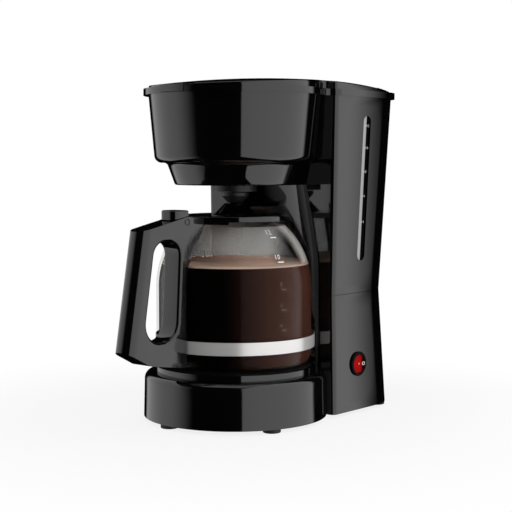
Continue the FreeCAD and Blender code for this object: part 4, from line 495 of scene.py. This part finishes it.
# pairs of lengths are ranges across the photo or behind the axis, and single ones heights over "from"
mist = {"from": coffee["level"] + 1.6 * mm, "to": 178.0 * mm, "gap": 0.25 * mm, "steps": 20,
        "shade": (0.26, 0.25, 0.245, 1), "pale": (0.82, 0.79, 0.77, 1), "warm": (0.7, 0.42, 0.31, 1),
        "rear": (-12.0 * mm, 12.0 * mm), "haze": (34.0 * mm, -10.0 * mm), "hazeShare": (0.88, 0.16),
        "veilFrom": (-50.0 * mm, 30.0 * mm), "veilTo": (50.0 * mm, 28.0 * mm), "front": 0.36,
        "blend": 0.5, "brimSlant": (0.5, 0.72), "brimFrom": (15.0 * mm, 35.0 * mm), "brim": 0.64,
        "cloudScale": 16.0, "cloudDetail": 4.0, "cloudStretch": (1, 1, 0.4), "cloudShare": (0.7, 0.6),
        "cellScale": 420.0, "cell": (0.42, 0.2), "dropReach": 22.0 * mm, "dropShare": (0.12, 0.25),
        "dropLight": 0.3, "litFrom": (-50.0 * mm, 6.0 * mm), "litAbove": 6.0 * mm,
        "warmTo": 12.0 * mm, "warmAbove": 6.0 * mm, "rough": 0.45, "dropBump": 0.5, "dropDepth": 0.6 * mm}


def mistMaterial(name):
    # condensation: haze and drops on the rear wall, a thin veil in front, denser at the brim, with painted
    # light and shade in its tone
    material, tree = newTree(name)
    x, y, z = axes(tree, "XYZ")
    side = acrossPhoto(x, y)
    base = mist["from"]
    rear = smoothStep(tree, behindAxis(x, y), *mist["rear"])
    front = 1 - rear
    haze = smoothStep(tree, side, *mist["haze"])
    veil = smoothStep(tree, side, *mist["veilFrom"]) * smoothStep(tree, side, *mist["veilTo"])
    slant = slantOf(tree, mist["blend"])
    brim = smoothStep(tree, slant, *mist["brimSlant"]) * smoothStep(tree, side, *mist["brimFrom"])
    cloud = noise(tree, mist["cloudScale"], mist["cloudDetail"], mist["cloudStretch"])
    cells = addNode(tree, "ShaderNodeTexVoronoi", {}, {"Vector": position(tree), "Scale": mist["cellScale"]})
    drops = smoothStep(tree, cells, *mist["cell"])
    dropsLow = drops * smoothStep(tree, z, base + mist["dropReach"], base)
    patchy = grown(mist["cloudShare"], cloud)
    rearShare = rear * (haze * grown(mist["hazeShare"], cloud) + dropsLow * grown(mist["dropShare"], haze))
    factor = rearShare + front * veil * patchy * mist["front"] + brim * patchy * mist["brim"]
    # painted light and shade: the tone is painted paler lower down and from the middle to the right, on the
    # low drops, at the brim and on the front veil; the shade colour is painted shade
    litHeight = smoothStep(tree, z, mist["to"], base + mist["litAbove"])
    lit = smoothStep(tree, side, *mist["litFrom"]) * litHeight
    tone = mixColour(tree, lit + dropsLow * mist["dropLight"] + brim + front, mist["shade"], mist["pale"])
    warmth = front * (1 - brim) * smoothStep(tree, z, base + mist["warmTo"], base + mist["warmAbove"])
    wet = principled(tree, {
        "Base Color": mixColour(tree, warmth, tone, mist["warm"]), "Roughness": mist["rough"],
        "Normal": bump(tree, drops, mist["dropBump"], mist["dropDepth"])})
    through = addNode(tree, "ShaderNodeBsdfTransparent", {}, {})
    output(tree, addNode(tree, "ShaderNodeMixShader", {}, {0: factor, 1: through, 2: wet}))
    return material


def makeMist():
    wall = glassProfile["wall"] + mist["gap"]
    outer = []
    for i in range(mist["steps"] + 1):
        z = mist["from"] + (mist["to"] - mist["from"]) * i / mist["steps"]
        outer.append((glassRadius(z, wall), z))
    addPiece("condensation", spinProfile(outer), mistMaterial("condensation"), "carafe")


def makeValveCoil():
    # stands for the valve spring
    bm = bmesh.new()
    bm.from_mesh(nodes["drip_valve_spring"].data)
    bm.transform(nodes["drip_valve_spring"].matrix_world)
    slotName = slotOf["drip_valve_spring"]
    coil = addPiece("valve_coil", bm, finishes[slotName], "machine")
    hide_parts("drip_valve_spring")
    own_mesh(coil)


ink = {"thick": 0.08 * mm, "weld": 1e-7, "speckScale": 900.0, "speck": (0.55, 0.75), "rough": (0.4, 0.2),
       "showThrough": (0.12, 0.085, 0.075, 1), "thinOver": 2.0 * mm, "never": -1.0, "dashSteps": 8, "castFrom": 0.12,
       "curveSteps": 3, "stroke": -0.006, "spacing": 1.15}


def printedInk(name, colour, worn, thinBelow=ink["never"]):
    # printed ink, a little uneven, and thin enough to darken in front of the coffee
    material, tree = newTree(name)
    (z,) = axes(tree, "Z")
    speck = noise(tree, ink["speckScale"])
    tone = mixColour(tree, smoothStep(tree, speck, *ink["speck"]), colour, worn)
    full = smoothStep(tree, z, thinBelow, thinBelow + ink["thinOver"])
    output(tree, principled(tree, {
        "Base Color": mixColour(tree, full, ink["showThrough"], tone), "Roughness": grown(ink["rough"], speck)}))
    return material


def textMesh(words, height):
    # flat lettering as a mesh, centred, with its figures of that height
    curve = bpy.data.curves.new("words", "FONT")
    curve.body = words
    curve.align_x = "CENTER"
    curve.resolution_u = ink["curveSteps"]
    curve.offset = ink["stroke"]  # thinner strokes
    curve.space_character = ink["spacing"]
    holder = bpy.data.objects.new("words", curve)
    bpy.context.scene.collection.objects.link(holder)
    bpy.context.view_layer.update()
    mesh = bpy.data.meshes.new_from_object(holder.evaluated_get(bpy.context.evaluated_depsgraph_get()))
    bpy.data.objects.remove(holder)
    bm = bmesh.new()
    bm.from_mesh(mesh)
    top = max(v.co.y for v in bm.verts)
    bmesh.ops.scale(bm, vec=Vector((height / top, height / top, 1)), verts=bm.verts)
    bpy.data.meshes.remove(mesh)
    return bm


def textInto(target, words, height, x, y):
    source = textMesh(words, height)
    bmesh.ops.translate(source, vec=(x, y, 0), verts=source.verts)
    mesh = bpy.data.meshes.new("part")
    source.to_mesh(mesh)
    source.free()
    target.from_mesh(mesh)
    bpy.data.meshes.remove(mesh)


def dashInto(bm, width, height, x, y):
    # a printed dash, divided so that it can follow a curved wall
    place = Matrix.Translation((x, y, 0)) @ Matrix.Diagonal((width, height, 1, 1))
    bmesh.ops.create_grid(bm, x_segments=ink["dashSteps"], y_segments=1, size=0.5, matrix=place)


def surfaceOf(node):
    bm = bmesh.new()
    bm.from_mesh(nodes[node].data)
    tree = BVHTree.FromBMesh(bm)
    bm.free()
    return tree


def thicken(bm):
    bmesh.ops.remove_doubles(bm, verts=bm.verts, dist=ink["weld"])
    bmesh.ops.solidify(bm, geom=bm.faces[:], thickness=ink["thick"])


def layOn(bm, node):
    # lays flat print, drawn as y and z, on a face that looks to the right
    face = surfaceOf(node)
    for v in bm.verts:
        start = Vector((ink["castFrom"], v.co.x, v.co.y))
        v.co = face.ray_cast(start, Vector((-1, 0, 0)))[0] + Vector((ink["thick"], 0, 0))
    thicken(bm)


cupMarks = {"turn": 77.5, "size": 3.9 * mm, "dash": (6.2 * mm, 0.9 * mm), "words": (-3.0 * mm, 2.6 * mm),
            "marks": (("12", 169.1), ("10", 148.0), ("8", 124.2), ("6", 106.2), ("4", 88.2)),
            "castFrom": 0.2, "colour": grey(0.95), "worn": grey(0.75)}


def makeCupMarks():
    # cup numbers printed on the glass, wrapped on its outer wall
    glass = surfaceOf("carafe_glass")
    aside, above = cupMarks["words"]
    bm = bmesh.new()
    for words, height in cupMarks["marks"]:
        textInto(bm, words, cupMarks["size"], aside, height * mm + above)
        dashInto(bm, *cupMarks["dash"], 0, height * mm)
    for v in bm.verts:
        z = v.co.y
        angle = math.radians(cupMarks["turn"]) + v.co.x / glassRadius(z)
        out = Vector((math.sin(angle), -math.cos(angle), 0))
        start = Vector((0, axisY, z)) + out * cupMarks["castFrom"]
        v.co = glass.ray_cast(start, -out)[0] + out * ink["thick"]
    thicken(bm)
    cupInk = printedInk("cupInk", cupMarks["colour"], cupMarks["worn"], coffee["level"])
    addPiece("cup_marks", bm, cupInk, "carafe", False)


windowMarks = {"places": ((0.266, "4"), (0.447, "6"), (0.615, "8"), (0.782, "10"), (0.935, "12")),
               "size": 2.3 * mm, "dash": (2.2 * mm, 0.7 * mm), "words": (2.5 * mm, -1.1 * mm),
               "colour": grey(0.6), "worn": grey(0.4)}


def makeWindowMarks():
    # level marks along the leaning edge of the strip
    bm = bmesh.new()
    low, high = windowLook["height"]
    aside, above = windowMarks["words"]
    for share, words in windowMarks["places"]:
        z = low + (high - low) * share
        y = windowLook["middle"] + windowLook["lean"] * (share - 0.5)
        textInto(bm, words, windowMarks["size"], y + aside, z + above)
        dashInto(bm, *windowMarks["dash"], y, z)
    layOn(bm, "level_window")
    windowInk = printedInk("windowInk", windowMarks["colour"], windowMarks["worn"])
    addPiece("window_marks", bm, windowInk, "machine", False)


rockerMarks = {"ring": (1.7 * mm, 1.0 * mm), "ringAt": 5.5 * mm, "ringSteps": 32,
               "bar": (0.6 * mm, 1.6 * mm), "barAt": 0.4 * mm, "colour": grey(0.7), "worn": grey(0.55)}


def makeRockerMarks():
    # the signs for on and off
    low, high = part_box("switch_rocker")
    y, z = (low.y + high.y) / 2, (low.z + high.z) / 2
    bm = bmesh.new()
    outer, inner = rockerMarks["ring"]
    place = Matrix.Translation((y + rockerMarks["ringAt"], z, 0))
    hoop = bmesh.ops.create_circle(bm, cap_ends=True, segments=rockerMarks["ringSteps"], radius=outer,
                                   matrix=place)
    disc = list({face for v in hoop["verts"] for face in v.link_faces})
    bmesh.ops.inset_region(bm, faces=disc, thickness=outer - inner, use_boundary=True)
    bmesh.ops.delete(bm, geom=disc, context="FACES_ONLY")
    dashInto(bm, *rockerMarks["bar"], y + rockerMarks["barAt"], z)
    layOn(bm, "switch_rocker")
    rockerInk = printedInk("rockerInk", rockerMarks["colour"], rockerMarks["worn"])
    addPiece("rocker_marks", bm, rockerInk, "rocker", False)


def hideFrom(piece, *rays):
    for ray in rays:
        setattr(piece, "visible_" + ray, False)


rightBox = {"start": (0.1954, 0.298), "end": (0.80, -0.72), "height": (-0.25, 0.75), "glow": (1.33, 1.05),
            "fade": (0.055, 0.10)}
leftBox = {"start": (-0.11, -0.76), "end": (-0.75, 0.2), "height": (-0.25, 0.75), "glow": (0.95, 0.95),
           "fade": (0.45, 0.2)}


def softBox(name, box):
    # a glowing panel standing between two points, fading out towards its ends
    start, end = Vector((*box["start"], 0)), Vector((*box["end"], 0))
    along = (end - start).normalized()
    length = (end - start).length
    low, high = box["height"]
    up = Vector((0, 0, 1))
    basis = Matrix((along, up, along.cross(up))).transposed().to_4x4()
    middle = Matrix.Translation((start + end) / 2 + up * (low + high) / 2)
    place = middle @ basis @ Matrix.Diagonal((length, high - low, 1, 1))
    bm = bmesh.new()
    bmesh.ops.create_grid(bm, x_segments=1, y_segments=1, size=0.5, matrix=place)
    material, tree = newTree(name)
    x, y = axes(tree, "XY")
    travel = (x - start.x) * along.x + (y - start.y) * along.y
    first, last = box["glow"]
    fadeIn = smoothStep(tree, travel, 0.0, box["fade"][0])
    fadeOut = smoothStep(tree, travel, length, length - box["fade"][1])
    strength = fadeIn * fadeOut * (first + travel * ((last - first) / length))
    output(tree, addNode(tree, "ShaderNodeEmission", {}, {"Color": grey(1.0), "Strength": strength}))
    hideFrom(stagePiece(name, bm, material), "camera", "transmission", "shadow")


topFill = {"glow": 0.8, "size": 1.4, "place": (0.1, -0.3, 1.5), "aim": (-0.1, 0.3, -1.4)}


def addLights():
    softBox("rightBox", rightBox)
    softBox("leftBox", leftBox)
    lamp = bpy.data.lights.new("topFill", "AREA")
    lamp.size = topFill["size"]
    lamp.energy = topFill["glow"] * math.pi * topFill["size"] * topFill["size"]
    holder = bpy.data.objects.new("topFill", lamp)
    holder.location = topFill["place"]
    holder.rotation_euler = Vector(topFill["aim"]).to_track_quat("-Z", "Y").to_euler()
    hideFrom(holder, "camera")
    bpy.context.scene.collection.objects.link(holder)


def seenDirectly(tree):
    # 1 where the camera, a mirror or a pane looks at the backdrop
    ways = [addNode(tree, "ShaderNodeLightPath", {}, {}, f"Is {ray} Ray")
            for ray in ("Camera", "Glossy", "Transmission")]
    return addNode(tree, "ShaderNodeMath", {"operation": "MINIMUM"}, {0: ways[0] + ways[1] + ways[2], 1: 1.0})


ambient = 0.5


def addWorld():
    # white to the eye, dimmer as a light
    world = bpy.data.worlds.new("studio")
    world.use_nodes = True
    tree = world.node_tree
    tree.nodes.clear()
    strength = addNode(tree, "ShaderNodeMapRange", {}, {"Value": seenDirectly(tree), "To Min": ambient})
    glow = addNode(tree, "ShaderNodeBackground", {}, {"Color": grey(1.0), "Strength": strength})
    addNode(tree, "ShaderNodeOutputWorld", {}, {"Surface": glow})
    bpy.context.scene.world = world


paleFloor = {"radius": 6.0, "steps": 96, "colour": grey(0.86), "rough": 0.9, "shadowShare": 0.16,
             "shadowReach": (0.42, 0.16)}


def addFloor():
    # white floor that takes a share of the shadow near the part
    bm = bmesh.new()
    bmesh.ops.create_circle(bm, cap_ends=True, segments=paleFloor["steps"], radius=paleFloor["radius"])
    material, tree = newTree("paleFloor")
    paint = principled(tree, {"Base Color": paleFloor["colour"], "Roughness": paleFloor["rough"]})
    white = addNode(tree, "ShaderNodeEmission", {}, {"Color": grey(1.0), "Strength": 1.0})
    x, y = axes(tree, "XY")
    near = smoothStep(tree, (x * x + y * y) ** 0.5, *paleFloor["shadowReach"])
    plain = seenDirectly(tree) * (1 - near * paleFloor["shadowShare"])
    output(tree, addNode(tree, "ShaderNodeMixShader", {}, {0: plain, 1: paint, 2: white}))
    hideFrom(stagePiece("floor", bm, material), "glossy")


flagTent = {"radius": 4.0, "steps": (32, 16), "glow": 0.002}


def addFlags():
    # dark studio tent: only mirror-like surfaces see it
    material, tree = newTree("flagCloth")
    output(tree, addNode(tree, "ShaderNodeEmission", {}, {"Color": grey(1.0), "Strength": flagTent["glow"]}))
    bm = bmesh.new()
    sectors, rings = flagTent["steps"]
    bmesh.ops.create_uvsphere(bm, u_segments=sectors, v_segments=rings, radius=flagTent["radius"])
    hideFrom(stagePiece("flagTent", bm, material), "camera", "diffuse", "transmission", "shadow")


# degrees, pixels and millimetres, fitted to the photo
view = {"azimuth": 40.338, "pitch": 4.211, "focal": 1267.34, "distance": 1162.2, "aside": 19.117,
        "height": 234.95, "frame": 512, "sensor": 36.0, "clip": (0.05, 50.0)}


def addCamera():
    turn, tilt = math.radians(view["azimuth"]), math.radians(view["pitch"])
    out = Vector((math.sin(turn), -math.cos(turn), 0))
    right = Vector((math.cos(turn), math.sin(turn), 0))
    data = bpy.data.cameras.new("photoCamera")
    data.sensor_width = view["sensor"]
    data.lens = view["focal"] * view["sensor"] / view["frame"]
    data.clip_start, data.clip_end = view["clip"]
    camera = bpy.data.objects.new("photoCamera", data)
    standing = (out * view["distance"] + right * view["aside"]) * mm
    camera.location = standing + Vector((0, axisY, view["height"] * mm))
    look = -out * math.cos(tilt) - Vector((0, 0, math.sin(tilt)))
    camera.rotation_euler = look.to_track_quat("-Z", "Y").to_euler()
    bpy.context.scene.collection.objects.link(camera)
    bpy.context.scene.camera = camera


makeCoffee()
makeFroth()
makeMist()
makeValveCoil()
makeCupMarks()
makeWindowMarks()
makeRockerMarks()
print("coffee, froth, condensation and print made")

addFloor()
addFlags()
addWorld()
addLights()
addCamera()
bpy.context.scene.view_settings.view_transform = "Standard"
print("stage set")
